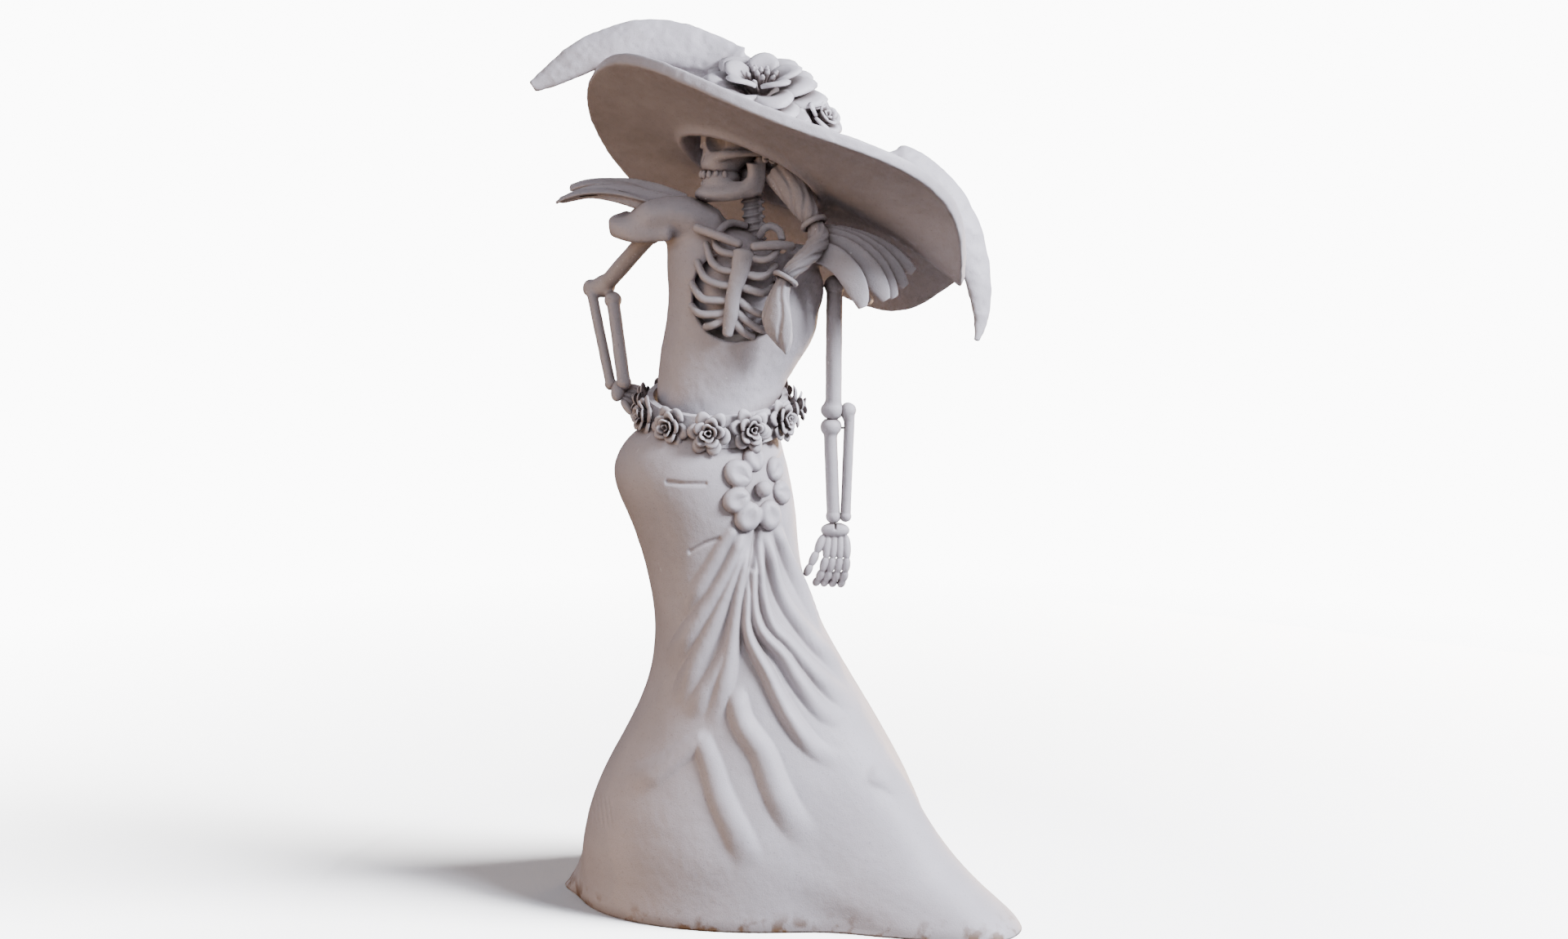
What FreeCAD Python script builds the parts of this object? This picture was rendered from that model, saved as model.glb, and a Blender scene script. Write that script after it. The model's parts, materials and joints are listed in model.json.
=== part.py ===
import FreeCAD, Part
import Sketcher
import math
import os

# Papier-mache catrina figure: a skeleton lady in a trained dress and a wide plumed hat.
# Millimetres, +Z up, display front towards -Y, origin under the armature rod on the base's
# underside. "Right" and "left" are the figure's own sides, so her left is towards +X.
# The shells are pulp over a bent steel rod; the left arm hangs from wire pins and the hat
# lifts off. The drawing sizes live in the Dimensions sheet and every object reads them.

V = FreeCAD.Vector
Rotation = FreeCAD.Rotation
Placement = FreeCAD.Placement
X_AXIS, Y_AXIS, Z_AXIS = V(1, 0, 0), V(0, 1, 0), V(0, 0, 1)

doc = FreeCAD.newDocument("Catrina")
sheet = doc.addObject("Spreadsheet::Sheet", "Dimensions")
nodes = []
row_count = 0


# ---------------------------------------------------------------- sheet

def write_cells(values):
    """Adds named values to the sheet, one row each."""
    global row_count
    for alias, value in values.items():
        row_count += 1
        sheet.set(f"A{row_count}", alias)
        sheet.set(f"B{row_count}", str(value))
        sheet.setAlias(f"B{row_count}", alias)


def write_table(prefix, columns, rows):
    """Adds a table of stations; the value of row 2, column half is named PREFIX_2_half."""
    cells = {}
    for number, row in enumerate(rows, 1):
        for column, value in zip(columns, row):
            cells[f"{prefix}_{number}_{column}"] = value
    write_cells(cells)
    return range(1, len(rows) + 1)


def write_points(points):
    """Adds named places: each point NAME becomes NAME_px, NAME_py and NAME_pz."""
    for name, place in points.items():
        write_cells({f"{name}_p{axis}": value for axis, value in zip("xyz", place)})


def dim(alias):
    return float(sheet.get(alias))


def point(name):
    return V(*(dim(f"{name}_p{axis}") for axis in "xyz"))


# Driving sizes. Thicknesses, radii and lengths of the pieces.
write_cells({
    "wall": 3.0, "base_thick": 5.0, "board_bedding": 0.5, "rod_dia": 5.0,
    "ballast_height": 16.0, "ballast_dia": 78.0, "pin_dia": 1.2, "pin_gap": 0.05,
    "humerus_shaft": 3.9, "humerus_head": 5.0, "humerus_foot": 4.6,
    "radius_shaft": 2.9, "radius_head": 4.0, "radius_foot": 3.4,
    "ulna_shaft": 2.2, "ulna_head": 2.9, "ulna_foot": 2.6,
    "clavicle_shaft": 2.0, "clavicle_head": 2.5,
    "shoulder_pin_length": 22.0, "elbow_pin_length": 15.0, "wrist_bar_length": 6.0,
    "rib_radius": 2.0, "sternum_half": 4.6, "sternum_thick": 2.6, "sternum_length": 46.0,
    "vertebra_radius": 5.2, "vertebra_count": 6, "head_turn": 15.0, "orbit_radius": 5.4,
    "jaw_bar": 3.4, "tooth_radius": 1.3, "tooth_count": 9,
    "hair_length": 24.0, "hair_half_width": 17.0, "hair_height": 12.0,
    "hair_rose_radius": 6.0, "tie_radius": 5.6, "tie_tube": 1.6,
    "rose_radius": 9.6, "rose_depth": 7.0, "rose_count": 11, "belt_thick": 3.0,
    "belt_height": 15.0, "belt_slope": 0.28, "belt_level": 257.0,
    "hip_petal_length": 11.0, "hip_petal_half": 5.3, "hip_petal_thick": 3.2,
    "hip_button_radius": 4.2, "hip_petal_count": 6,
    "brim_radius": 107.0, "brim_thick": 7.0, "brim_root_thick": 4.0,
    "crown_radius": 40.0, "crown_height": 47.0, "crown_wall": 3.0,
    "crown_shift_x": -13.5, "crown_shift_y": -8.0, "hat_roll": 25.0, "hat_pitch": -16.0,
    "hat_rose_radius": 26.0, "hat_rose_height": 15.0, "hat_bud_radius": 14.0,
    "leaf_length": 10.0, "leaf_half": 6.0, "leaf_thick": 2.2, "leaf_count": 6,
    "metacarpal_length": 11.0, "metacarpal_half": 1.35,
    "phalanx_length": 3.6, "phalanx_half": 1.25, "carpal_half": 6.4, "carpal_thick": 2.9,
})

# Driving places: joint centres and the corners that the pose is built on.
write_points({
    "left_shoulder": (25.8, 3, 319.6), "left_elbow": (25.4, 3, 255.8),
    "left_wrist": (26.5, 3, 193.5),
    "right_shoulder": (-68, 6, 346), "right_elbow": (-95, 44, 318), "right_wrist": (-86, 14, 265),
    "jaw_centre": (-27, -1, 374),
    "hat_centre": (-3, 5, 374), "sternum_top": (-21.5, -28, 338), "sternum_foot": (-28.5, -27, 294),
    "neck_foot": (-15.5, 2, 341), "neck_top": (-17.5, 2, 375),
    "hip_flower": (-12, -38, 219), "hair_centre": (-2, 4, 386), "hair_rose": (-7.5, -16.5, 386),
})
sheet.recompute()


# ---------------------------------------------------------------- helpers

def bind(obj, **properties):
    """Ties properties to sheet cells; each value is an expression of aliases."""
    names = sorted((sheet.getContents(f"A{i}").lstrip("'") for i in range(1, row_count + 1)),
                   key=len, reverse=True)
    for name, expression in properties.items():
        words = []
        for word in expression.split():
            words.append(f"Dimensions.{word}" if word in names else word)
        obj.setExpression(name, " ".join(words))
    return obj


def node(obj, label):
    """Marks a finished sub-part; its label is its file's name."""
    obj.Label = label
    nodes.append(obj)
    return obj


def along(start, end, roll_to=None):
    """Placement at start whose Z runs to end; X leans towards roll_to if that is given."""
    direction = (end - start).normalize()
    if roll_to is None:
        return Placement(start, Rotation(Z_AXIS, direction))
    side = (roll_to - direction * roll_to.dot(direction)).normalize()
    return Placement(start, Rotation(side, direction.cross(side), direction, "ZXY"))


def ellipsoid(name, centre, rx, ry, rz, turn=Rotation()):
    """Ellipsoid whose three semi-axes are expressions of sheet cells."""
    obj = doc.addObject("Part::Ellipsoid", name)
    bind(obj, Radius2=rx, Radius3=ry, Radius1=rz)
    obj.Placement = Placement(centre, turn)
    return obj


def cylinder(name, start, end, radius):
    obj = doc.addObject("Part::Cylinder", name)
    bind(obj, Radius=radius)
    obj.Height = (end - start).Length
    obj.Placement = along(start, end)
    return obj


def fused(name, pieces):
    obj = doc.addObject("Part::MultiFuse", name)
    obj.Shapes = pieces
    return obj


def cut(name, base, tool):
    obj = doc.addObject("Part::Cut", name)
    obj.Base, obj.Tool = base, tool
    return obj


def grouped(name, pieces):
    obj = doc.addObject("Part::Compound", name)
    obj.Links = pieces
    return obj


def loft_of(name, sections, closed=False):
    obj = doc.addObject("Part::Loft", name)
    obj.Sections = sections
    obj.Solid = True
    obj.Ruled = False
    obj.Closed = closed
    return obj


def ellipse_section(name, centre, half_long, half_short, placement):
    """One loft section. half_long is never less than half_short."""
    obj = doc.addObject("Part::Ellipse", name)
    bind(obj, MajorRadius=half_long, MinorRadius=half_short)
    obj.Placement = Placement(centre, placement)
    return obj


def blade(name, table, wide):
    """Loft of flat ellipses along a curved spine, for feathers, plumes and locks of hair.

    The table's columns are px, py, pz, half, thin; wide is the way the ellipses are broad.
    """
    count = len(table)
    centres = [point(f"{name}_{i}") for i in table]
    sections = []
    for i in range(count):
        before, after = centres[max(i - 1, 0)], centres[min(i + 1, count - 1)]
        turn = along(before, after, wide).Rotation
        sections.append(ellipse_section(
            f"{name}_section_{i + 1}", centres[i],
            f"{name}_{i + 1}_half", f"{name}_{i + 1}_thin", turn))
    return loft_of(f"{name}_loft", sections)


def body_with_sketch(name, plane):
    """A PartDesign body and a sketch on one of its own origin planes."""
    body = doc.addObject("PartDesign::Body", name)
    sketch = body.newObject("Sketcher::SketchObject", f"{name}_sketch")
    support = next(f for f in body.Origin.OriginFeatures if f.Role == plane)
    sketch.AttachmentSupport = [(support, "")]
    sketch.MapMode = "FlatFace"
    return body, sketch


def constrain(sketch, kind, *where, value=None, expression=None):
    """Adds one constraint and ties its value to the sheet."""
    arguments = list(where) + ([value] if value is not None else [])
    number = sketch.addConstraint(Sketcher.Constraint(kind, *arguments))
    if expression:
        name = f"size_{number}"
        sketch.renameConstraint(number, name)
        bind(sketch, **{f"Constraints.{name}": expression})


def revolved(body, sketch):
    turned = body.newObject("PartDesign::Revolution", f"{body.Name}_revolution")
    turned.Profile = sketch
    turned.ReferenceAxis = (sketch, ["V_Axis"])
    turned.Angle = 360
    body.Tip = turned
    return body


def bone(label, start, end, shaft, head, foot):
    """A long bone turned about its own axis: a straight shaft with a round knob at each end.

    start and end are the knobs' centres; shaft, head and foot are the sheet's radii.
    """
    body, sketch = body_with_sketch(label, "XZ_Plane")
    length = (end - start).Length
    rs, ra, rb = dim(shaft), dim(head), dim(foot)
    rise_a, rise_b = math.sqrt(ra ** 2 - rs ** 2), math.sqrt(rb ** 2 - rs ** 2)
    write_cells({f"{label}_length": round(length, 3)})
    sheet.recompute()
    low = Part.Arc(V(0, -ra, 0), V(ra * 0.8, -ra * 0.6, 0), V(rs, rise_a, 0))
    high = Part.Arc(V(rs, length - rise_b, 0), V(rb * 0.8, length + rb * 0.6, 0),
                    V(0, length + rb, 0))
    sketch.addGeometry(low, False)
    sketch.addGeometry(Part.LineSegment(V(rs, rise_a, 0), V(rs, length - rise_b, 0)), False)
    sketch.addGeometry(high, False)
    sketch.addGeometry(Part.LineSegment(V(0, length + rb, 0), V(0, -ra, 0)), False)
    constrain(sketch, "Coincident", 0, 2, 1, 1)
    constrain(sketch, "Coincident", 1, 2, 2, 1)
    constrain(sketch, "Coincident", 2, 2, 3, 1)
    constrain(sketch, "Coincident", 3, 2, 0, 1)
    constrain(sketch, "Coincident", 0, 3, -1, 1)
    constrain(sketch, "PointOnObject", 2, 3, -2)
    constrain(sketch, "PointOnObject", 0, 1, -2)
    constrain(sketch, "PointOnObject", 2, 2, -2)
    constrain(sketch, "Vertical", 1)
    constrain(sketch, "Radius", 0, value=ra, expression=head)
    constrain(sketch, "Radius", 2, value=rb, expression=foot)
    constrain(sketch, "DistanceX", -1, 1, 1, 1, value=rs, expression=shaft)
    constrain(sketch, "DistanceY", -1, 1, 2, 3, value=length, expression=f"{label}_length")
    revolved(body, sketch)
    body.Placement = along(start, end)
    return body


def bead(name, start, end, half, length=None):
    """A small finger bone: an ellipsoid from start to end."""
    middle = (start + end) * 0.5
    obj = doc.addObject("Part::Ellipsoid", name)
    obj.Radius1 = (end - start).Length / 2
    bind(obj, Radius2=half, Radius3=half)
    obj.Placement = Placement(middle, Rotation(Z_AXIS, end - start))
    return obj


# ---------------------------------------------------------------- skirt and base

# Skirt outline by level: left and right reach, front and back reach, centre, and the train,
# a lobe that grows towards the display front's right corner.
SKIRT = write_table("skirt", ("level", "left", "right", "front", "back", "train", "corner"), [
    (0, -106, 84, -62, 80, 62, 13),
    (12, -106, 82, -61, 79, 50, 4),
    (32, -105, 76, -60, 74, 29, 0),
    (68, -94, 62, -54, 62, 11, 0),
    (108, -73.5, 40.5, -45, 49, 2, 0),
    (146, -67, 19.5, -38, 38, 0, 0),
    (175, -71, 9, -35, 36, 0, 0),
    (203, -80, 6, -37, 38, 0, 0),
    (226, -87, 2, -38, 40, 0, 0),
    (243, -79, -2, -33, 34, 0, 0),
    (250, -70, -2, -28, 29, 0, 0),
])
# The train's lobe is wider on its front side. The corner is a small turned-up point of the hem.
write_cells({"train_angle": -26, "train_front_width": 21, "train_back_width": 13,
             "corner_angle": 170, "corner_width": 9, "outline_points": 36, "hip_level": 172})
sheet.recompute()


def lobe(angle, centre, width):
    """One at the centre, fading to nothing a few widths away; all in degrees."""
    off = (math.degrees(angle) - centre + 180) % 360 - 180
    return math.exp(-(off / width) ** 2)


def skirt_outline(i, inset):
    """Closed outline of one skirt level: four quarter ellipses and the train's lobe."""
    level, left, right, front, back, train, corner = (
        dim(f"skirt_{i}_{c}")
        for c in ("level", "left", "right", "front", "back", "train", "corner"))
    centre = (left + right) / 2
    points = []
    count = int(dim("outline_points"))
    for k in range(count):
        angle = 2 * math.pi * k / count
        x, y = math.cos(angle), math.sin(angle)
        reach_x = (right - left) / 2
        reach_y = back if y > 0 else -front
        radius = 1 / math.sqrt((x / reach_x) ** 2 + (y / reach_y) ** 2) - inset
        side = (math.degrees(angle) - dim("train_angle") + 180) % 360 - 180
        width = dim("train_front_width") if side < 0 else dim("train_back_width")
        radius += train * lobe(angle, dim("train_angle"), width)
        radius += corner * lobe(angle, dim("corner_angle"), dim("corner_width"))
        points.append(V(centre + radius * x, radius * y, level))
    curve = Part.BSplineCurve()
    curve.interpolate(points, PeriodicFlag=True)
    return Part.Wire(curve.toShape())


def outline_feature(name, wire):
    obj = doc.addObject("Part::Feature", name)
    obj.Shape = wire
    return obj


def build_skirt():
    """Hollow pulp shell from the hem to the waist, parted at the hip into a bell and a top."""
    wall = dim("wall")
    outer = loft_of("skirt_outer", [
        outline_feature(f"skirt_outer_{i}", skirt_outline(i, 0)) for i in SKIRT])
    inner = loft_of("skirt_inner", [
        outline_feature(f"skirt_inner_{i}", skirt_outline(i, wall)) for i in SKIRT])
    whole = cut("skirt_whole", outer, inner)
    for label, level in (("skirt_shell", dim("hip_level")), ("skirt_hip", dim("hip_level") - 400)):
        away = doc.addObject("Part::Box", f"{label}_away")
        away.Length = away.Width = away.Height = 400
        away.Placement = Placement(V(-200, -200, level), Rotation())
        node(cut(label, whole, away), label)


# The bent rod, from its seat in the board up to the skull.
ROD = write_table("rod", ("px", "py", "pz"), [
    (0, 0, 1.5), (0, 0, 60), (-28, 2, 150), (-34, 2, 235), (-25, 2, 300), (-15.5, 2, 341),
    (-17.8, 2, 392)])
sheet.recompute()


def build_base():
    """Wooden board bedded in the hem, with the plaster ballast on it."""
    board = doc.addObject("Part::Extrusion", "base_board")
    outline = skirt_outline(2, dim("wall") - dim("board_bedding"))
    outline.translate(V(0, 0, -dim("skirt_2_level")))
    board.Base = outline_feature("base_outline", outline)
    board.DirMode = "Custom"
    board.Dir = Z_AXIS
    bind(board, LengthFwd="base_thick")
    board.Solid = True
    drill = cylinder("base_drill", point("rod_1"), point("rod_1") + Z_AXIS * dim("base_thick"),
                     "rod_dia / 2")
    node(cut("base_plate", board, drill), "base_plate")

    body, sketch = body_with_sketch("ballast_block", "XZ_Plane")
    low, high = dim("base_thick"), dim("base_thick") + dim("ballast_height")
    outer, bore = dim("ballast_dia") / 2, dim("rod_dia") / 2
    profile = [V(bore, low, 0), V(outer, low, 0), V(outer - 6, high, 0), V(bore, high, 0)]
    for k in range(4):
        sketch.addGeometry(Part.LineSegment(profile[k], profile[(k + 1) % 4]), False)
    for k in range(4):
        constrain(sketch, "Coincident", k, 2, (k + 1) % 4, 1)
    constrain(sketch, "DistanceX", -1, 1, 1, 1, value=outer, expression="ballast_dia / 2")
    constrain(sketch, "DistanceX", -1, 1, 0, 1, value=bore, expression="rod_dia / 2")
    constrain(sketch, "DistanceY", 0, 2, 1, 2, value=high - low, expression="ballast_height")
    node(revolved(body, sketch), "ballast_block")


def rod_path():
    """The bent rod's centreline: straight runs joined by tangent arcs."""
    corners = [point(f"rod_{i}") for i in ROD]
    edges, last = [], corners[0]
    for before, corner, after in zip(corners, corners[1:], corners[2:]):
        into, out = (corner - before).normalize(), (after - corner).normalize()
        turn = into.getAngle(out)
        reach = 0.45 * min((corner - before).Length, (after - corner).Length)
        start, end = corner - into * reach, corner + out * reach
        radius = reach / math.tan(turn / 2)
        middle = corner + (out - into).normalize() * (radius / math.cos(turn / 2) - radius)
        edges.append(Part.LineSegment(last, start).toShape())
        edges.append(Part.Arc(start, middle, end).toShape())
        last = end
    edges.append(Part.LineSegment(last, corners[-1]).toShape())
    return Part.Wire(edges)


def build_rod():
    spine = outline_feature("rod_spine", rod_path())
    profile = doc.addObject("Part::Circle", "rod_profile")
    bind(profile, Radius="rod_dia / 2")
    profile.Placement = Placement(point("rod_1"), Rotation())
    sweep = doc.addObject("Part::Sweep", "armature_rod")
    sweep.Sections = [profile]
    sweep.Spine = (spine, [f"Edge{i + 1}" for i in range(len(spine.Shape.Edges))])
    sweep.Solid = True
    node(sweep, "armature_rod")


# ---------------------------------------------------------------- dress body

BODICE = write_table("bodice", ("px", "pz", "half", "deep", "tilt"), [
    (-34, 247, 31, 23, 0),
    (-33, 265, 32, 22.5, 0),
    (-24.5, 291, 37.5, 25, 3),
    (-21, 307, 38.5, 27, 8),
    (-22.5, 322, 38, 26, 12),
    (-25, 335, 35, 20.5, 16),
    (-28, 345, 26, 12, 20),
])
CORE = write_table("core", ("px", "pz", "half", "deep"), [
    (-29, 262, 13, 9), (-26, 280, 24, 15), (-22, 298, 28, 17), (-21, 315, 26, 16),
    (-20, 328, 16, 10)])
sheet.recompute()


def bodice_loft(name, inset, last):
    sections = []
    for i in BODICE:
        if i > last:
            break
        centre = V(dim(f"bodice_{i}_px"), 0, dim(f"bodice_{i}_pz"))
        turn = Rotation(Y_AXIS, dim(f"bodice_{i}_tilt"))
        sections.append(ellipse_section(
            f"{name}_{i}", centre, f"bodice_{i}_half - {inset}", f"bodice_{i}_deep - {inset}", turn))
    return loft_of(name, sections)


def build_bodice():
    """Pulp shell with an open chest window, the paper core seen through it, and the belt."""
    outer = bodice_loft("bodice_outer", 0, 7)
    inner = bodice_loft("bodice_inner", 3, 6)
    shell = cut("bodice_hollow", outer, inner)
    window = ellipsoid("chest_window", V(-24.5, -30, 316), "sternum_half * 5.2", "sternum_half * 5",
                       "sternum_half * 5.2")
    node(cut("bodice_shell", shell, window), "bodice_shell")
    core = loft_of("core_mass", [
        ellipse_section(f"core_{i}", V(dim(f"core_{i}_px"), 2, dim(f"core_{i}_pz")),
                        f"core_{i}_half", f"core_{i}_deep", Rotation()) for i in CORE])
    rod = outline_feature("core_bore", rod_shape())
    node(cut("torso_core", core, rod), "torso_core")


def rod_shape():
    """The rod's own volume, to bore the pieces that it passes through."""
    profile = Part.Wire(Part.Circle(point("rod_1"), Z_AXIS, dim("rod_dia") / 2).toShape())
    return rod_path().makePipeShell([profile], True, False)


def belt_frame(angle, lift=0.0, out=0.0):
    """A place on the belt's centre line, which slopes down towards the front."""
    half, deep = dim("bodice_2_half") + out, dim("bodice_2_deep") + 6 + out
    x = dim("bodice_2_px") - 1 + half * math.cos(angle)
    y = deep * math.sin(angle)
    return V(x, y, dim("belt_level") + dim("belt_slope") * y + lift)


def build_belt():
    sections = []
    count = 16
    thick, height = dim("belt_thick"), dim("belt_height")
    for k in range(count):
        angle = 2 * math.pi * k / count
        corners = [belt_frame(angle, -height / 2, 2.4), belt_frame(angle, -height / 2, 2.4 + thick),
                   belt_frame(angle, height / 2, 1.0 + thick), belt_frame(angle, height / 2, 1.0)]
        sections.append(outline_feature(f"belt_section_{k}", Part.makePolygon(corners + corners[:1])))
    node(loft_of("belt_band", sections, closed=True), "belt_band")

    roses = int(dim("rose_count"))
    for k in range(roses):
        angle = -math.pi / 2 + 2 * math.pi * (k - 0.15) / roses
        centre = belt_frame(angle, 0, 1.2 + dim("belt_thick"))
        outward = V(math.cos(angle), math.sin(angle) * 1.2, 0.1)
        turn = Rotation(Z_AXIS, outward)
        dome = ellipsoid(f"rose_dome_{k}", centre, "rose_radius", "rose_radius", "rose_depth", turn)
        dome.Angle1 = 0
        node(dome, f"belt_rose_{k + 1:02d}")


def build_hip_flower():
    """Six modelled petals round a button on the skirt's left front, where the drape gathers."""
    centre, count = point("hip_flower"), int(dim("hip_petal_count"))
    petals = []
    for k in range(count):
        angle = math.radians(30 + 360 / count * k)
        reach = dim("hip_petal_length")
        place = centre + V(math.cos(angle) * reach, abs(math.cos(angle)) * 2, math.sin(angle) * reach)
        petals.append(ellipsoid(f"hip_petal_{k}", place, "hip_petal_length / 2", "hip_petal_thick",
                                "hip_petal_half", Rotation(Y_AXIS, -math.degrees(angle))))
    node(grouped("hip_petals", petals), "hip_flower_petals")
    node(ellipsoid("hip_button", centre + V(0, -2, 0), "hip_button_radius", "hip_button_radius",
                   "hip_button_radius"), "hip_flower_button")


# ---------------------------------------------------------------- rib cage and neck

RIBS = write_table("rib", ("drop", "right", "left", "sag"), [
    (2.0, 15, 13, 4), (9.5, 22, 18, 9), (17.0, 25, 21, 10),
    (24.5, 26, 22, 10), (31.5, 24, 21, 7), (37.5, 15, 16, 4)])
sheet.recompute()


def rib(name, root, reach, sag):
    """A curved rod from the sternum round towards the back of the chest window."""
    side = math.copysign(1, reach)
    points = [root, root + V(reach * 0.55, 1.5, -1.5), root + V(reach * 0.9, 8, sag * 0.35),
              root + V(reach, 16, sag)]
    curve = Part.BSplineCurve()
    curve.interpolate(points)
    path = Part.Wire(curve.toShape())
    start = (points[1] - points[0]).normalize()
    circle = Part.Wire(Part.Circle(root, start, dim("rib_radius")).toShape())
    obj = doc.addObject("Part::Feature", name)
    obj.Shape = path.makePipeShell([circle], True, False)
    return obj


def build_ribs():
    top, foot = point("sternum_top"), point("sternum_foot")
    direction = (foot - top).normalize()
    for side, sign in (("right", -1), ("left", 1)):
        rods = []
        for i in RIBS:
            root = top + direction * dim(f"rib_{i}_drop") + V(sign * 3.0, 0.6, 0)
            rods.append(rib(f"{side}_rib_{i}", root, sign * dim(f"rib_{i}_{side}"),
                            dim(f"rib_{i}_sag")))
        node(grouped(f"{side}_rib_group", rods), f"{side}_ribs")
    node(ellipsoid("sternum_blade", (top + foot) * 0.5, "sternum_half", "sternum_thick",
                   "sternum_length / 2", Rotation(Z_AXIS, direction)), "sternum")
    node(bone("right_clavicle", V(-45, -20, 351), V(-24, -29, 343.5), "clavicle_shaft",
              "clavicle_head", "clavicle_head"), "right_clavicle")
    node(bone("left_clavicle", V(2, -22, 339.5), V(-14, -29, 341.5), "clavicle_shaft",
              "clavicle_head", "clavicle_head"), "left_clavicle")


def build_neck():
    """Seven stacked vertebrae threaded on the rod."""
    foot, top, count = point("neck_foot"), point("neck_top"), int(dim("vertebra_count"))
    step = (top - foot) * (1 / count)
    rings = []
    for k in range(count):
        start = foot + step * k
        rings.append(cylinder(f"vertebra_{k}", start, start + step * 0.94, "vertebra_radius"))
    stack = grouped("vertebra_stack", rings)
    node(cut("vertebrae", stack, outline_feature("neck_bore", rod_shape())), "neck_vertebrae")


# ---------------------------------------------------------------- head

# Skull sections from the teeth to the crown: level, centre, half length and half width.
SKULL = write_table("skull", ("px", "pz", "half", "deep"), [
    (-31.5, 377.5, 9.5, 8.5),
    (-28.0, 383, 13.5, 12),
    (-21.0, 390, 20.5, 15.5),
    (-17.5, 399, 24.5, 18),
    (-16.0, 407, 24, 18),
    (-15.0, 414, 19, 14.5),
    (-15.0, 418.5, 9, 7),
])
# The jaw bar's path from one hinge round the chin to the other: forward, across and up.
JAW = write_table("jaw", ("forward", "across", "rise"), [
    (-8, -12.5, 7), (-5, -12, -5), (6, -9.5, -8), (13, -5, -8), (15, 0, -8),
    (13, 5, -8), (6, 9.5, -8), (-5, 12, -5), (-8, 12.5, 7)])
sheet.recompute()


def build_head():
    """Skull and jaw look over the right shoulder, a little towards the front."""
    turn = Rotation(Z_AXIS, dim("head_turn"))
    forward, across = turn.multVec(V(-1, 0, 0)), turn.multVec(V(0, 1, 0))
    sections = [ellipse_section(
        f"skull_section_{i}", V(dim(f"skull_{i}_px"), 1, dim(f"skull_{i}_pz")),
        f"skull_{i}_half", f"skull_{i}_deep", turn) for i in SKULL]
    mass = loft_of("skull_mass", sections)
    orbits = []
    for name, sign in (("near", -1), ("far", 1)):
        place = V(-19, 1, 391.5) + forward * 19 + across * (sign * 8)
        orbit = doc.addObject("Part::Sphere", f"orbit_{name}")
        bind(orbit, Radius="orbit_radius")
        orbit.Placement = Placement(place, Rotation())
        orbits.append(orbit)
    tools = orbits + [doc.addObject("Part::Feature", "skull_bore")]
    tools[-1].Shape = rod_shape()
    node(cut("skull", mass, fused("skull_tools", tools)), "skull")

    centre = point("jaw_centre")
    corners = [centre + forward * dim(f"jaw_{i}_forward") + across * dim(f"jaw_{i}_across")
               + V(0, 0, dim(f"jaw_{i}_rise")) for i in JAW]
    curve = Part.BSplineCurve()
    curve.interpolate(corners)
    path = outline_feature("jaw_path", Part.Wire(curve.toShape()))
    bar = doc.addObject("Part::Circle", "jaw_profile")
    bind(bar, Radius="jaw_bar")
    bar.Placement = Placement(corners[0], Rotation(Z_AXIS, corners[1] - corners[0]))
    sweep = doc.addObject("Part::Sweep", "jaw_sweep")
    sweep.Sections = [bar]
    sweep.Spine = (path, ["Edge1"])
    sweep.Solid = True
    sweep.Frenet = False
    node(sweep, "jaw")

    teeth = []
    count = int(dim("tooth_count"))
    for row, level, reach in (("upper", 1.6, 16.0), ("lower", -3.2, 15.0)):
        for k in range(count):
            angle = math.radians(-68 + 136 * k / (count - 1))
            place = centre + forward * (reach * math.cos(angle) - 1) + across * (9 * math.sin(angle))
            teeth.append(ellipsoid(f"{row}_tooth_{k}", place + V(0, 0, level), "tooth_radius",
                                   "tooth_radius", "tooth_radius * 1.5"))
    node(grouped("tooth_rows", teeth), "teeth")

    bulk = ellipsoid("hair_bulk", point("hair_centre"), "hair_length", "hair_half_width",
                     "hair_height", Rotation(Y_AXIS, 25))
    bared = cut("hair_over_skull", bulk, mass)
    node(cut("hair_mass", bared, outline_feature("hair_bore", rod_shape())), "hair_mass")
    rose = ellipsoid("ear_rose", point("hair_rose"), "hair_rose_radius", "hair_rose_radius",
                     "hair_rose_radius * 0.6", Rotation(Z_AXIS, V(0.1, -1, 0)))
    rose.Angle1 = 0
    node(rose, "hair_rose")


LOCKS = {
    "ponytail_upper": [(-4, -8, 377, 8, 6), (6, -16, 366, 8, 6), (11, -20, 358, 6.6, 5),
                       (14.5, -22, 352, 4.6, 4)],
    "ponytail_middle": [(15, -22, 351, 4.6, 4), (17, -26, 343, 6.6, 5), (9, -32, 333, 6.4, 5),
                        (1, -34, 325, 4.4, 3.8)],
    "ponytail_end": [(0.5, -34, 324, 4.4, 3.6), (-3, -35, 313, 6.6, 4), (-3, -34.5, 302, 8, 4),
                     (0, -33, 293, 4.6, 3), (1, -32, 286, 1.2, 1)],
}
for lock, rows in LOCKS.items():
    write_table(lock, ("px", "py", "pz", "half", "thin"), rows)
sheet.recompute()


def build_ponytail():
    for lock, rows in LOCKS.items():
        node(blade(lock, range(1, len(rows) + 1), V(0.6, -0.2, 0.7)), lock)
    ties = []
    for name, place, turn in (("upper", V(14.7, -22, 351.5), V(0.5, -0.4, -1)),
                              ("lower", V(0.8, -34, 324.5), V(-0.6, -0.2, -1))):
        ring = doc.addObject("Part::Torus", f"tie_{name}")
        bind(ring, Radius1="tie_radius", Radius2="tie_tube")
        ring.Placement = Placement(place, Rotation(Z_AXIS, turn))
        ties.append(ring)
    node(grouped("tie_pair", ties), "hair_ties")


# ---------------------------------------------------------------- shoulders

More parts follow.
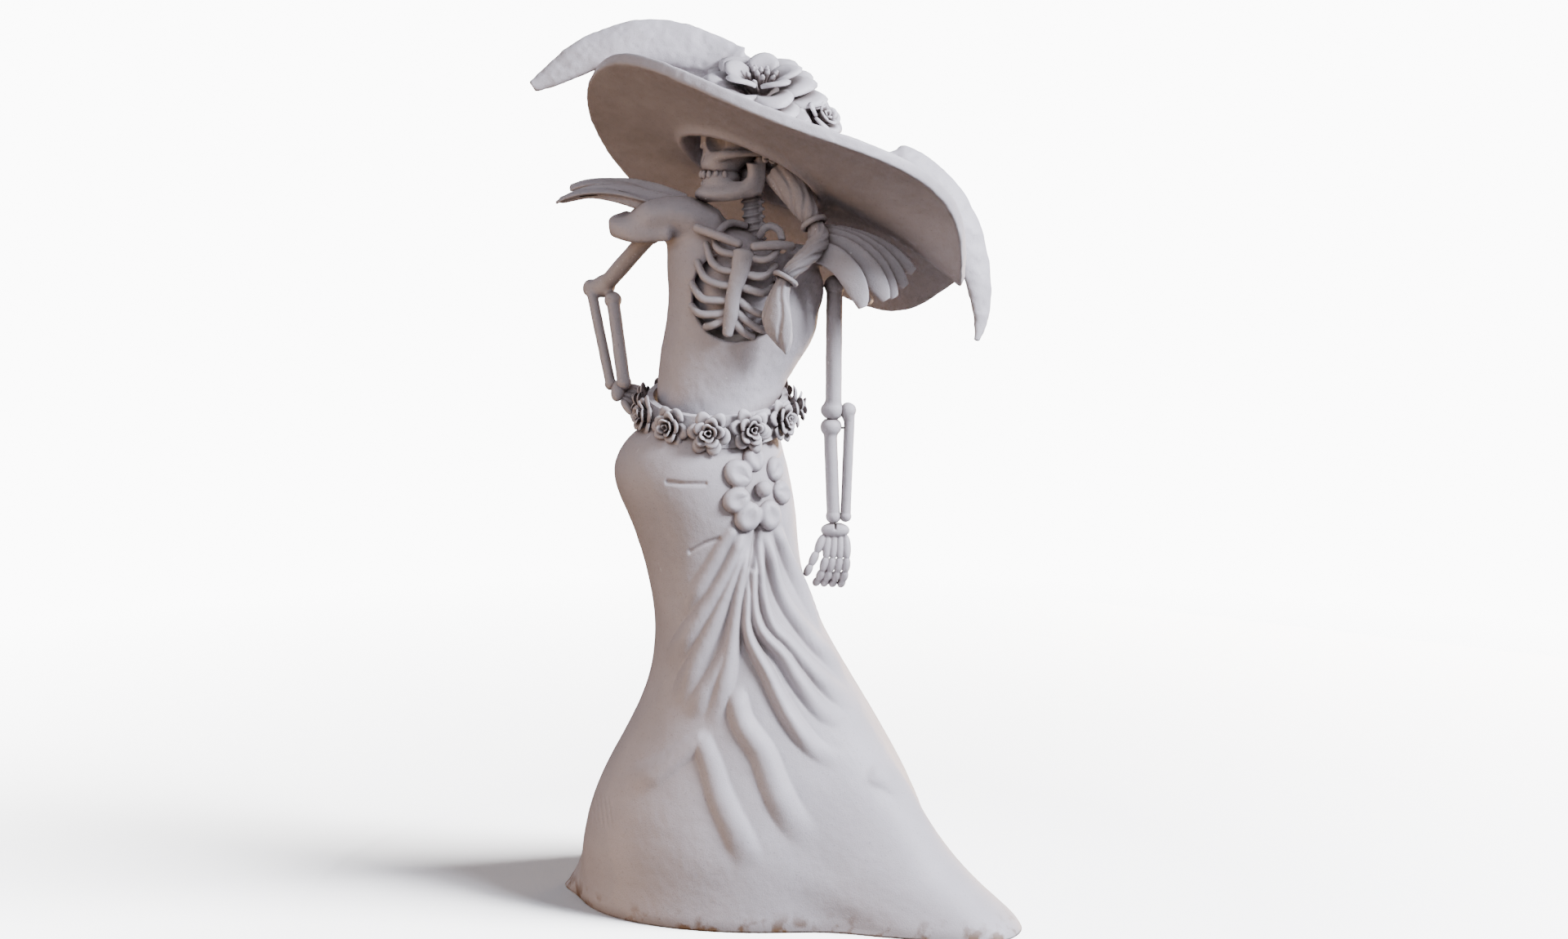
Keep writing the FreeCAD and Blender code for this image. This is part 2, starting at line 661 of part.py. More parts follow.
CAPS = {
    "right_sleeve_cap": [(-34, 0, 353, 12, 4), (-48, 0, 355, 16, 8), (-66, 0, 352, 17, 8.5),
                         (-80, 0, 349, 14, 6.5), (-88, 0, 349, 7, 4)],
    "left_sleeve_cap": [(2, 0, 337, 12, 4), (14, 0, 335.5, 15, 4), (27, -2, 330.5, 16, 3),
                        (38, -5, 320, 13, 3), (44, -7, 311, 6, 2)],
}
FEATHERS = {
    "right": [
        [(-60, -5, 359, 5, 1.6), (-78, -6, 365.5, 5.2, 1.8), (-98, -7, 367, 4.6, 1.6),
         (-115, -6, 361.5, 2, 1)],
        [(-58, 6, 361, 5, 1.6), (-76, 6, 369, 5.2, 1.8), (-95, 6, 371.5, 4.6, 1.6),
         (-109, 6, 368, 2, 1)],
        [(-56, 17, 360, 5, 1.6), (-74, 18, 367.5, 5.2, 1.8), (-92, 19, 369.5, 4.6, 1.6),
         (-105, 19, 366, 2, 1)],
    ],
    "left": [
        [(13, -25, 338, 5, 1.3), (25, -28, 334, 6, 1.4), (34, -29, 324, 6, 1.4),
         (39, -29, 310, 2.2, 1)],
        [(14, -21.5, 341, 5, 1.3), (30, -24.5, 338, 6, 1.4), (42, -25.5, 328, 6, 1.4),
         (51, -25.5, 313.5, 2.2, 1)],
        [(14, -18, 343, 5, 1.3), (31, -21, 341, 6, 1.4), (45, -22, 330.5, 6, 1.4),
         (55, -22, 314.5, 2.2, 1)],
        [(14, -14.5, 344.5, 5, 1.3), (32, -17.5, 343, 5.6, 1.4), (48, -18.5, 334, 5.6, 1.4),
         (61, -18.5, 320, 2.2, 1)],
        [(14, -11, 346, 5, 1.3), (33, -14, 344, 5.2, 1.4), (51, -15, 337, 5.2, 1.4),
         (65, -15, 327, 2.2, 1)],
    ],
}
for cap, rows in CAPS.items():
    write_table(cap, ("px", "py", "pz", "half", "thin"), rows)
for side, fan in FEATHERS.items():
    for number, rows in enumerate(fan, 1):
        write_table(f"{side}_feather_{number}", ("px", "py", "pz", "half", "thin"), rows)
sheet.recompute()


def build_shoulders():
    for cap, rows in CAPS.items():
        node(blade(cap, range(1, len(rows) + 1), Y_AXIS), cap)
    broad = {"right": V(0, 1, 0.15), "left": Z_AXIS}
    for side, fan in FEATHERS.items():
        blades = [blade(f"{side}_feather_{n}", range(1, len(rows) + 1), broad[side])
                  for n, rows in enumerate(fan, 1)]
        node(grouped(f"{side}_fan", blades), f"{side}_shoulder_feathers")


# ---------------------------------------------------------------- arms

def hand(side, wrist, down, spread, palm, fingers):
    """Palm bones as one node, the finger bones as another; returns the wrist block.

    down is the way the hand points, spread runs from thumb to little finger and palm is the
    way the fingers curl. fingers lists, thumb first, each finger's start, fan and curl.
    """
    block = ellipsoid(f"{side}_carpal_block", wrist, "carpal_half", "carpal_thick",
                      "carpal_thick", Rotation(spread, palm, down * -1, "XZY"))
    bones, tips = [], []
    for k, (start, fan, curl) in enumerate(fingers):
        root = wrist + down * (dim("carpal_thick") + 0.5) + spread * start
        way = (down + spread * fan).normalize()
        knuckle = root + way * (dim("metacarpal_length") * (0.8 if k == 0 else 1))
        bones.append(bead(f"{side}_metacarpal_{k}", root, knuckle, "metacarpal_half"))
        place, turned = knuckle, way
        for joint in range(2 if k == 0 else 3):
            turned = (turned + palm * curl).normalize()
            size = dim("phalanx_length") * (2.0 - 0.4 * joint)
            end = place + turned * size
            tips.append(bead(f"{side}_phalanx_{k}_{joint}", place + turned * 0.2, end,
                             f"phalanx_half - {joint} * 0.1"))
            place = end
    node(grouped(f"{side}_finger_group", tips), f"{side}_finger_bones")
    return block, bones


def build_right_arm():
    """The right arm is set with the hand on the hip."""
    shoulder, elbow, wrist = (point(f"right_{p}") for p in ("shoulder", "elbow", "wrist"))
    node(bone("right_humerus", shoulder, elbow, "humerus_shaft", "humerus_head", "humerus_foot"),
         "right_humerus")
    gap = dim("humerus_foot") + dim("radius_head") + 0.4
    down = (wrist - elbow).normalize()
    side = V(3.6, -2.2, 0.5)
    node(bone("right_radius", elbow + down * gap + side, wrist + side - down * 4, "radius_shaft",
              "radius_head", "radius_foot"), "right_radius")
    node(bone("right_ulna", elbow + V(-7.6, 1, 0), wrist - side - down * 4, "ulna_shaft",
              "ulna_head", "ulna_foot"), "right_ulna")
    point_down = V(0.72, 0.1, -0.35).normalize()
    block, bones = hand("right", wrist, point_down, V(0.1, 0.75, 0.65).normalize(),
                        V(0.5, 0.5, -0.3), [(-5.5, -0.9, 0.1), (-3.8, -0.15, 0.35),
                                            (-0.8, 0.0, 0.35), (2.4, 0.15, 0.35), (5.2, 0.3, 0.4)])
    node(grouped("right_hand_group", [block] + bones), "right_hand_bones")


def bored(name, base, start, end):
    """A bone drilled for its wire pin, with running clearance."""
    return cut(name, base, cylinder(f"{name}_drill", start, end, "pin_dia / 2 + pin_gap"))


def build_left_arm():
    """The left arm hangs on wire pins at the shoulder, elbow and wrist."""
    shoulder, elbow, wrist = (point(f"left_{p}") for p in ("shoulder", "elbow", "wrist"))
    reach = V(30, 0, 0)
    humerus = bone("humerus_blank", shoulder, elbow, "humerus_shaft", "humerus_head",
                   "humerus_foot")
    humerus = bored("humerus_upper_bore", humerus, shoulder - reach, shoulder + reach)
    node(bored("humerus_lower_bore", humerus, elbow - reach, elbow + reach), "left_humerus")

    drop = dim("humerus_foot") + dim("radius_head") + 0.5
    lift = dim("carpal_thick") + dim("radius_foot") + 1.0
    radius_top = elbow + V(-1.6, 0, -drop)
    node(bone("left_radius", radius_top, wrist + V(-1.0, 0, lift), "radius_shaft", "radius_head",
              "radius_foot"), "left_radius")
    ulna_top = elbow + V(8.4, 0, 0)
    node(bone("left_ulna", ulna_top, wrist + V(5.3, 0, lift), "ulna_shaft", "ulna_head",
              "ulna_foot"), "left_ulna")

    node(cylinder("left_shoulder_pin", shoulder + V(-15, 0, 0),
                  shoulder + V(-15 + dim("shoulder_pin_length"), 0, 0), "pin_dia / 2"),
         "left_shoulder_pin")
    hinge = cylinder("elbow_hinge_wire", ulna_top - V(dim("elbow_pin_length") - 1.5, 0, 0),
                     ulna_top + V(1.5, 0, 0), "pin_dia / 2")
    link = cylinder("elbow_link_wire", radius_top, radius_top + V(9.6, 0, 0), "pin_dia / 2")
    node(grouped("elbow_wires", [hinge, link]), "left_elbow_pin")

    bar = V(dim("wrist_bar_length") / 2, 0, 0)
    stem = cylinder("wrist_stem", wrist, wrist + V(-0.4, 0, lift), "pin_dia / 2")
    cross = cylinder("wrist_bar", wrist - bar, wrist + bar, "pin_dia / 2")
    node(fused("wrist_wire", [stem, cross]), "left_wrist_pin")
    down, spread = V(-0.02, -0.18, -1).normalize(), V(1, 0, -0.02).normalize()
    block, bones = hand("left", wrist, down, spread, V(-0.3, 0.7, 0).normalize(),
                        [(-6.0, -0.4, 0.1), (-3.4, -0.1, 0.35), (-0.4, -0.05, 0.35),
                         (2.7, 0.0, 0.35), (5.6, 0.06, 0.35)])
    slot = doc.addObject("Part::Box", "wrist_slot")
    bind(slot, Length="pin_dia + 1.4", Width="carpal_thick * 3", Height="carpal_thick + 1")
    slot.Placement = Placement(wrist + V(-1.3, -1.5 * dim("carpal_thick"), -0.2), Rotation())
    block = bored("carpal_bore", block, wrist - bar * 1.15, wrist + bar * 1.15)
    block = cut("carpal_slotted", block, slot)
    node(grouped("left_hand_group", [block] + bones), "left_hand_bones")


# ---------------------------------------------------------------- hat

BRIM = write_table("brim", ("lift",), [(v,) for v in (-1, 3, 8, -1, 1, 9, 6, -2, -9, -8, -12, -13)])
sheet.recompute()


def hat_placement():
    roll, pitch = Rotation(Y_AXIS, dim("hat_roll")), Rotation(X_AXIS, dim("hat_pitch"))
    return Placement(point("hat_centre"), roll.multiply(pitch))


def brim_section(name, angle, lift):
    """One radial slice of the brim: thin at the crown, thick at the rim."""
    way = V(math.cos(angle), -math.sin(angle), 0)
    root = V(dim("crown_shift_x"), dim("crown_shift_y"), 0) + way * (dim("crown_radius") - 1.5)
    rim = way * dim("brim_radius") + V(0, 0, lift)
    middle = root * 0.45 + rim * 0.55 + V(0, 0, -lift * 0.18 + 1.5)
    root_thick, thick = V(0, 0, dim("brim_root_thick")), V(0, 0, dim("brim_thick"))
    lower = Part.BSplineCurve()
    lower.interpolate([root - root_thick, middle - (root_thick + thick) * 0.5, rim - thick])
    upper = Part.BSplineCurve()
    upper.interpolate([rim, middle, root])
    edges = [lower.toShape(), Part.LineSegment(rim - thick, rim).toShape(), upper.toShape(),
             Part.LineSegment(root, root - root_thick).toShape()]
    return outline_feature(name, Part.Wire(edges))


def build_brim():
    sections = [brim_section(f"brim_section_{i}", 2 * math.pi * (i - 1) / len(BRIM),
                             dim(f"brim_{i}_lift")) for i in BRIM]
    brim = loft_of("brim_loft", sections, closed=True)
    brim.Placement = hat_placement()
    node(brim, "hat_brim")


def build_crown():
    """Domed shell that drops over the skull."""
    outer = ellipsoid("crown_outer", V(0, 0, 0), "crown_radius", "crown_radius", "crown_height")
    inner = ellipsoid("crown_inner", V(0, 0, -0.5), "crown_radius - crown_wall",
                      "crown_radius - crown_wall", "crown_height - crown_wall")
    outer.Angle1 = -8
    inner.Angle1 = -30
    crown = cut("crown_dome", outer, inner)
    hat = hat_placement()
    centre = hat.multVec(V(dim("crown_shift_x"), dim("crown_shift_y"), 0))
    crown.Placement = Placement(centre, hat.Rotation)
    node(crown, "hat_crown")


# Plume spines, from the crown to the tip.
PLUMES = {
    "right": [(-22, -6, 431, 9, 3), (-40, -2, 437, 11, 4), (-62, -2, 442, 12, 4),
              (-88, -4, 439, 10.5, 4), (-110, -6, 428.5, 8, 3.5), (-126, -8, 419, 3, 2)],
    "left": [(51, 6, 386.5, 7, 3), (70, 6, 377, 10, 4), (85, 6, 360, 11, 4),
             (95, 5, 339, 10, 4), (99.5, 3, 320, 8, 3.5), (100.5, 1, 303.5, 5, 3),
             (98, -2, 291.5, 2, 1.5)],
}
for side, rows in PLUMES.items():
    write_table(f"{side}_plume", ("px", "py", "pz", "half", "thin"), rows)
sheet.recompute()


def build_hat_trim():
    broad = {"right": V(0.1, 0.3, 1), "left": V(1, 0.6, 0.6)}
    for side, rows in PLUMES.items():
        node(blade(f"{side}_plume", range(1, len(rows) + 1), broad[side]), f"hat_plume_{side}")

    base, axis = V(-12, -23, 413), V(0.05, -0.5, 0.86)
    rose = ellipsoid("hat_rose_dome", base, "hat_rose_radius", "hat_rose_radius",
                     "hat_rose_height", Rotation(Z_AXIS, axis))
    rose.Angle1 = 0
    node(rose, "hat_rose_large")
    bud = ellipsoid("hat_bud_dome", V(17, -28, 401), "hat_bud_radius", "hat_bud_radius",
                    "hat_bud_radius * 0.7", Rotation(Z_AXIS, V(0.6, -0.5, 0.5)))
    bud.Angle1 = 0
    node(bud, "hat_rose_small")
    leaves = []
    count = int(dim("leaf_count"))
    across, down = V(1, 0, 0), V(0, -0.86, -0.5)
    for k in range(count):
        angle = math.radians(5 + 160 * k / (count - 1))
        way = across * -math.cos(angle) + down * math.sin(angle)
        leaves.append(ellipsoid(f"leaf_{k}", base + way * 24, "leaf_length", "leaf_half",
                                "leaf_thick", Rotation(way, axis.cross(way), axis, "XZY")))
    node(grouped("leaf_spray", leaves), "hat_leaves")


# ---------------------------------------------------------------- build and export

def check_and_export():
    os.makedirs("parts", exist_ok=True)
    doc.recompute()
    for obj in doc.Objects:
        if "Invalid" in obj.State or "Error" in obj.State:
            raise RuntimeError(f"{obj.Name} ({obj.Label}) failed: {obj.State}")
    for obj in nodes:
        shape = obj.Shape
        if shape.isNull() or not shape.isValid() or shape.Volume <= 0:
            raise RuntimeError(f"{obj.Label} has no valid solid")
        shape.exportStep(f"parts/{obj.Label}.step")
        print(f"{obj.Label:26s} {len(shape.Solids):3d} solids {shape.Volume / 1000:9.2f} cm3")
    print(len(nodes), "nodes")


build_skirt()
build_base()
build_rod()
build_bodice()
build_belt()
build_hip_flower()
build_ribs()
build_neck()
build_head()
build_ponytail()
build_shoulders()
build_right_arm()
build_left_arm()
build_brim()
build_crown()
build_hat_trim()
check_and_export()
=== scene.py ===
import itertools
import json
import math

import bpy
import numpy as np
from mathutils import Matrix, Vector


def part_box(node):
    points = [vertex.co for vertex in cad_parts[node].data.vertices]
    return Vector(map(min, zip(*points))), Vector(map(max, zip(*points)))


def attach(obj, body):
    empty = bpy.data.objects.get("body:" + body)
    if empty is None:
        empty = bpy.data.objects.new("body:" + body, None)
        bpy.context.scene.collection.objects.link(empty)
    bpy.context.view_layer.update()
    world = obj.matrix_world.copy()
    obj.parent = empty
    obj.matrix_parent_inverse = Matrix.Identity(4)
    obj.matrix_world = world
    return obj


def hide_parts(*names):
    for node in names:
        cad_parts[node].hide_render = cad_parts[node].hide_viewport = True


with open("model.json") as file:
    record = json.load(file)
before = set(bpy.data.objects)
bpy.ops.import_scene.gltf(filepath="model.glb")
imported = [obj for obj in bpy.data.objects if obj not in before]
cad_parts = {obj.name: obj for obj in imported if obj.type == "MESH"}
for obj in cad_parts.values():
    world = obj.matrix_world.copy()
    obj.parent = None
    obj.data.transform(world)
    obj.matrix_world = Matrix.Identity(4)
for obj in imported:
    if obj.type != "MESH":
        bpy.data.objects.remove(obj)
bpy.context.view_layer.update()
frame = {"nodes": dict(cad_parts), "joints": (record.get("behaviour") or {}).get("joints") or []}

import openvdb as vdb
from mathutils import Vector
from mathutils.bvhtree import BVHTree

# Lengths are in millimetres up to the point where a mesh is made.
MM = 0.001
FIGURE = "figure"


# ---------------------------------------------------------------- frame lookups

def cad_mesh(node):
    """Welded corners in mm and triangles of one CAD node."""
    mesh = frame["nodes"][node].data
    mesh.calc_loop_triangles()
    corners = np.empty(len(mesh.vertices) * 3, np.float64)
    mesh.vertices.foreach_get("co", corners)
    triangles = np.empty(len(mesh.loop_triangles) * 3, np.int32)
    mesh.loop_triangles.foreach_get("vertices", triangles)
    corners = corners.reshape(-1, 3) / MM
    _, first, back = np.unique(np.round(corners, 4), axis=0, return_index=True,
                               return_inverse=True)
    triangles = back.reshape(-1)[triangles].reshape(-1, 3).astype(np.int32)
    whole = ((triangles[:, 0] != triangles[:, 1]) & (triangles[:, 1] != triangles[:, 2])
             & (triangles[:, 2] != triangles[:, 0]))
    return corners[first], triangles[whole]


def middle(*nodes):
    """Centre in mm of the box round some CAD nodes."""
    low, high = reach(*nodes)
    return (low + high) / 2


def reach(*nodes):
    """Lowest and highest corner in mm of the box round some CAD nodes."""
    boxes = [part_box(n) for n in nodes]
    low = np.min([b[0] for b in boxes], axis=0) / MM
    high = np.max([b[1] for b in boxes], axis=0) / MM
    return low, high


def surface_of(*nodes):
    corners, triangles = [], []
    for node in nodes:
        points, faces = cad_mesh(node)
        triangles += [tuple(len(corners) + i for i in t) for t in faces.tolist()]
        corners += [tuple(c) for c in points.tolist()]
    return BVHTree.FromPolygons(corners, triangles)


# ---------------------------------------------------------------- small maths

def unit(v):
    v = np.asarray(v, float)
    return v / np.linalg.norm(v)


def step_up(x, low, high):
    """0 below low, 1 above high and smooth between."""
    t = np.clip((x - low) / (high - low), 0, 1)
    return t * t * (3 - 2 * t)


def smooth_path(rows, count):
    """Rows of numbers resampled along a Catmull-Rom curve through them."""
    rows = np.asarray(rows, float)
    padded = np.vstack([2 * rows[0] - rows[1], rows, 2 * rows[-1] - rows[-2]])
    out = []
    for s in np.linspace(0, len(rows) - 1, count):
        k = min(int(s), len(rows) - 2)
        t = s - k
        a, b, c, d = padded[k:k + 4]
        out.append(0.5 * (2 * b + (c - a) * t + (2 * a - 5 * b + 4 * c - d) * t * t
                          + (3 * b - a - 3 * c + d) * t ** 3))
    return np.array(out)


def lumps(at, size, seed, octaves=2):
    """Smooth random heights between about -1 and 1, in lumps of one size in mm."""
    at = np.asarray(at, float)
    total = np.zeros(len(at))
    for k in range(octaves):
        table = np.random.default_rng(seed + k).uniform(-1, 1, (32, 32, 32))
        q = at * 2 ** k / size + 400 + 3.7 * seed
        cell = np.floor(q).astype(int)
        t = q - cell
        t = t * t * (3 - 2 * t)
        for corner in itertools.product((0, 1), repeat=3):
            weight = np.prod(np.where(np.array(corner), t, 1 - t), axis=1)
            i, j, m = ((cell + corner) % 32).T
            total += weight * table[i, j, m] / 2 ** k
    return total


# ---------------------------------------------------------------- making objects

def make(name, corners, faces, material, nodes=(), body=FIGURE):
    """A named smooth mesh from corners in mm, riding on a body in place of CAD nodes."""
    mesh = bpy.data.meshes.new(name)
    mesh.from_pydata((np.asarray(corners) * MM).tolist(), [], np.asarray(faces).tolist()
                     if isinstance(faces, np.ndarray) else faces)
    mesh.polygons.foreach_set("use_smooth", [True] * len(mesh.polygons))
    mesh.materials.append(material)
    mesh.update()
    obj = bpy.data.objects.new(name, mesh)
    bpy.context.scene.collection.objects.link(obj)
    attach(obj, body)
    if nodes:
        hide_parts(*nodes)
    return obj


def grid_faces(rows, columns, wrap=False, start=0):
    """Four-sided faces over a grid of corners stored row by row."""
    faces = []
    last = columns if wrap else columns - 1
    for i in range(rows - 1):
        for j in range(last):
            a = start + i * columns + j
            b = start + i * columns + (j + 1) % columns
            faces.append((a, b, b + columns, a + columns))
    return faces


FAR = 9.0


def soft_min(a, b, soft):
    low = np.minimum(a, b)
    if soft <= 0:
        return low
    h = np.maximum(soft - np.abs(a - b), 0) / soft
    return low - h * h * soft / 4


class Clay:
    """A grid of signed distances in mm that shapes are joined to and cut from."""

    def __init__(self, low, high, step):
        self.step = step
        self.low = np.asarray(low, float) - 4 * step
        size = np.ceil((np.asarray(high) + 4 * step - self.low) / step).astype(int) + 1
        self.field = np.full(size, FAR, np.float32)

    @classmethod
    def of(cls, *nodes, step=0.6, soft=0.0, room=0.0):
        """Starts from the shapes of CAD nodes, run together over soft mm."""
        low, high = reach(*nodes)
        clay = cls(low - room, high + room, step)
        for node in nodes:
            clay.add_node(node, soft)
        return clay

    def add_node(self, node, soft=0.0):
        corners, triangles = cad_mesh(node)
        points = ((corners - self.low) / self.step).astype(np.float32)
        band = math.ceil(soft / self.step) + 4
        solid = vdb.FloatGrid.createLevelSetFromPolygons(
            points, triangles=triangles.astype(np.uint32), halfWidth=float(band))
        values = np.empty(self.field.shape, np.float32)
        solid.copyToArray(values)
        self.field = soft_min(self.field, values * self.step, soft)

    def _block(self, shape, margin):
        low, high, _ = shape
        a = np.maximum(((low - margin - self.low) / self.step).astype(int), 0)
        b = np.minimum(((high + margin - self.low) / self.step).astype(int) + 2,
                       self.field.shape)
        axes = [self.low[i] + self.step * np.arange(a[i], b[i]) for i in range(3)]
        at = np.stack(np.meshgrid(*axes, indexing="ij"), -1)
        return tuple(slice(a[i], b[i]) for i in range(3)), at

    def join(self, shape, soft=0.0):
        where, at = self._block(shape, soft + 3 * self.step)
        if at.size:
            self.field[where] = soft_min(self.field[where], shape[2](at), soft)

    def cut(self, shape, soft=0.0):
        where, at = self._block(shape, soft + 3 * self.step)
        if at.size:
            self.field[where] = -soft_min(-self.field[where], shape[2](at), soft)

    def grow(self, by):
        """Moves the whole surface out by a distance in mm."""
        self.field = self.field - by

    def soften(self, times):
        """Rounds edges by averaging neighbouring distances."""
        for _ in range(times):
            for axis in range(3):
                self.field = (np.roll(self.field, 1, axis) + 2 * self.field
                              + np.roll(self.field, -1, axis)) / 4

    def mesh(self, rough=0.0, seed=1):
        """Corners and faces of the surface, with slight hand-made unevenness."""
        grid = vdb.FloatGrid(FAR)
        grid.copyFromArray(self.field)
        corners, triangles, quads = grid.convertToPolygons(isovalue=0.0, adaptivity=0.0)
        corners = np.asarray(corners, float) * self.step + self.low
        faces = [tuple(f[::-1]) for f in quads.tolist()]
        faces += [tuple(f[::-1]) for f in triangles.tolist()]
        if rough:
            where = (corners - self.low) / self.step
            slope = np.stack([g[tuple(np.clip(np.round(where).astype(int), 0,
                                              np.array(g.shape) - 1).T)]
                              for g in np.gradient(self.field)], -1)
            slope /= np.linalg.norm(slope, axis=1, keepdims=True) + 1e-9
            corners += slope * (rough * (lumps(corners, 9, seed)
                                         + 0.5 * lumps(corners, 2.6, seed + 5, 1)) - rough
                                )[:, None]
        return corners, faces


def strand(rows, broad=(0, 1, 0), count=None):
    """A stick with oval sections: rows of x, y, z, half-width and half-thickness."""
    rows = np.asarray(rows, float)
    if rows.shape[1] == 4:
        rows = np.column_stack([rows, rows[:, 3]])
    if count:
        rows = smooth_path(rows, count)
    widest = np.maximum(rows[:, 3], rows[:, 4])[:, None]
    low, high = (rows[:, :3] - widest).min(0), (rows[:, :3] + widest).max(0)

    def distance(at):
        best = np.full(at.shape[:3], 99.0)
        for a, b in zip(rows, rows[1:]):
            along = b[:3] - a[:3]
            t = np.clip(((at - a[:3]) @ along) / (along @ along), 0, 1)
            way = unit(along)
            side = unit(np.asarray(broad, float) - way * np.dot(broad, way))
            off = at - a[:3] - t[..., None] * along
            half = a[3] + (b[3] - a[3]) * t
            thin = a[4] + (b[4] - a[4]) * t
            least = np.minimum(half, thin)
            q = np.stack([(off @ side) / half, (off @ np.cross(way, side)) / thin,
                          (off @ way) / least], -1)
            size = np.linalg.norm(q, axis=-1)
            best = np.minimum(best, (size - 1) * least)
        return best.astype(np.float32)

    return low, high, distance


def blob(centre, radii, axes=None):
    """An egg shape, turned to axes, which is three unit rows."""
    centre, radii = np.asarray(centre, float), np.asarray(radii, float)
    axes = np.eye(3) if axes is None else np.asarray(axes)
    spread = np.abs(axes.T) @ radii

    def distance(at):
        q = ((at - centre) @ axes.T) / radii
        k0 = np.linalg.norm(q, axis=-1)
        k1 = np.linalg.norm(q / radii, axis=-1) + 1e-9
        return (k0 * (k0 - 1) / k1).astype(np.float32)

    return centre - spread, centre + spread, distance


def sculpt(name, clay, material, nodes, body=FIGURE, rough=0.12, seed=1):
    corners, faces = clay.mesh(rough, seed)
    return make(name, corners, faces, material, nodes, body)


# ---------------------------------------------------------------- surfaces

def mix_colours(tree, factor, first, second):
    """A colour mix node: factor is a socket, first and second a colour or a socket."""
    mix = tree.nodes.new("ShaderNodeMix")
    mix.data_type = "RGBA"
    tree.links.new(factor, mix.inputs[0])
    for socket, value in ((mix.inputs[6], first), (mix.inputs[7], second)):
        if isinstance(value, tuple):
            socket.default_value = (*value, 1)
        else:
            tree.links.new(value, socket)
    return mix.outputs[2]


def ramp(tree, source, low, high):
    """0 below low, 1 above high."""
    node = tree.nodes.new("ShaderNodeMapRange")
    node.inputs[1].default_value = low
    node.inputs[2].default_value = high
    tree.links.new(source, node.inputs[0])
    return node.outputs[0]


def noise(tree, scale, detail=4.0, stretch=None, distortion=0.0):
    """Noise in the object's own space; scale is lumps to the metre."""
    place = tree.nodes.new("ShaderNodeTexCoord").outputs["Object"]
    if stretch:
        mapping = tree.nodes.new("ShaderNodeMapping")
        mapping.inputs["Scale"].default_value = stretch
        tree.links.new(place, mapping.inputs[0])
        place = mapping.outputs[0]
    node = tree.nodes.new("ShaderNodeTexNoise")
    node.inputs["Scale"].default_value = scale
    node.inputs["Detail"].default_value = detail
    node.inputs["Distortion"].default_value = distortion
    tree.links.new(place, node.inputs["Vector"])
    return node.outputs["Fac"]


def pulp(name, tone, painted_shade, worn, rough=(0.42, 0.62), grain=0.25, stain=None, stretch=None):
    """Unpainted paper pulp: mottled, with painted shade darkening the hollows, paler on rubbed
    edges.
    """
    material = bpy.data.materials.new(name)
    material.use_nodes = True
    tree = material.node_tree
    shader = tree.nodes["Principled BSDF"]
    mottle = ramp(tree, noise(tree, 45, 6, stretch), 0.3, 0.7)
    colour = mix_colours(tree, mottle, tone, tuple(0.9 * c for c in tone))
    fleck = ramp(tree, noise(tree, 900, 3), 0.62, 0.75)
    colour = mix_colours(tree, fleck, colour, tuple(0.72 * c for c in tone))
    # Painted shade: an occlusion mask darkens hollows, creases and the gaps between parts
    # towards the finish's second colour.
    hollow = tree.nodes.new("ShaderNodeAmbientOcclusion")
    hollow.samples = 4
    hollow.inputs["Distance"].default_value = 0.007
    shade = ramp(tree, hollow.outputs["AO"], 0.9, 0.35)
    colour = mix_colours(tree, shade, colour, painted_shade)
    point = tree.nodes.new("ShaderNodeNewGeometry").outputs["Pointiness"]
    edge = tree.nodes.new("ShaderNodeMath")
    edge.operation = "MULTIPLY"
    tree.links.new(ramp(tree, point, 0.53, 0.62), edge.inputs[0])
    tree.links.new(ramp(tree, noise(tree, 160, 3), 0.35, 0.6), edge.inputs[1])
    colour = mix_colours(tree, edge.outputs[0], colour, worn)
    if stain:
        colour = stain(tree, colour)
    tree.links.new(colour, shader.inputs["Base Color"])
    roughness = tree.nodes.new("ShaderNodeMapRange")
    roughness.inputs[3].default_value = rough[0]
    roughness.inputs[4].default_value = rough[1]
    tree.links.new(noise(tree, 120, 5), roughness.inputs[0])
    tree.links.new(roughness.outputs[0], shader.inputs["Roughness"])
    shader.inputs["Specular IOR Level"].default_value = 0.35
    height = tree.nodes.new("ShaderNodeMath")
    height.operation = "ADD"
    tree.links.new(noise(tree, 1500, 2), height.inputs[0])
    tree.links.new(noise(tree, 260, 5, stretch), height.inputs[1])
    bump = tree.nodes.new("ShaderNodeBump")
    bump.inputs["Strength"].default_value = grain
    bump.inputs["Distance"].default_value = 0.0004
    tree.links.new(height.outputs[0], bump.inputs["Height"])
    tree.links.new(bump.outputs[0], shader.inputs["Normal"])
    return material


def hem_stain(tree, colour):
    """Brown scuffs along the hem, fading a few millimetres above the floor."""
    split = tree.nodes.new("ShaderNodeSeparateXYZ")
    tree.links.new(tree.nodes.new("ShaderNodeTexCoord").outputs["Object"], split.inputs[0])
    low = ramp(tree, split.outputs[2], 0.011, 0.001)
    both = tree.nodes.new("ShaderNodeMath")
    both.operation = "MULTIPLY"
    tree.links.new(low, both.inputs[0])
    tree.links.new(ramp(tree, noise(tree, 110, 4), 0.5, 0.62), both.inputs[1])
    return mix_colours(tree, both.outputs[0], colour, (0.2, 0.12, 0.07))
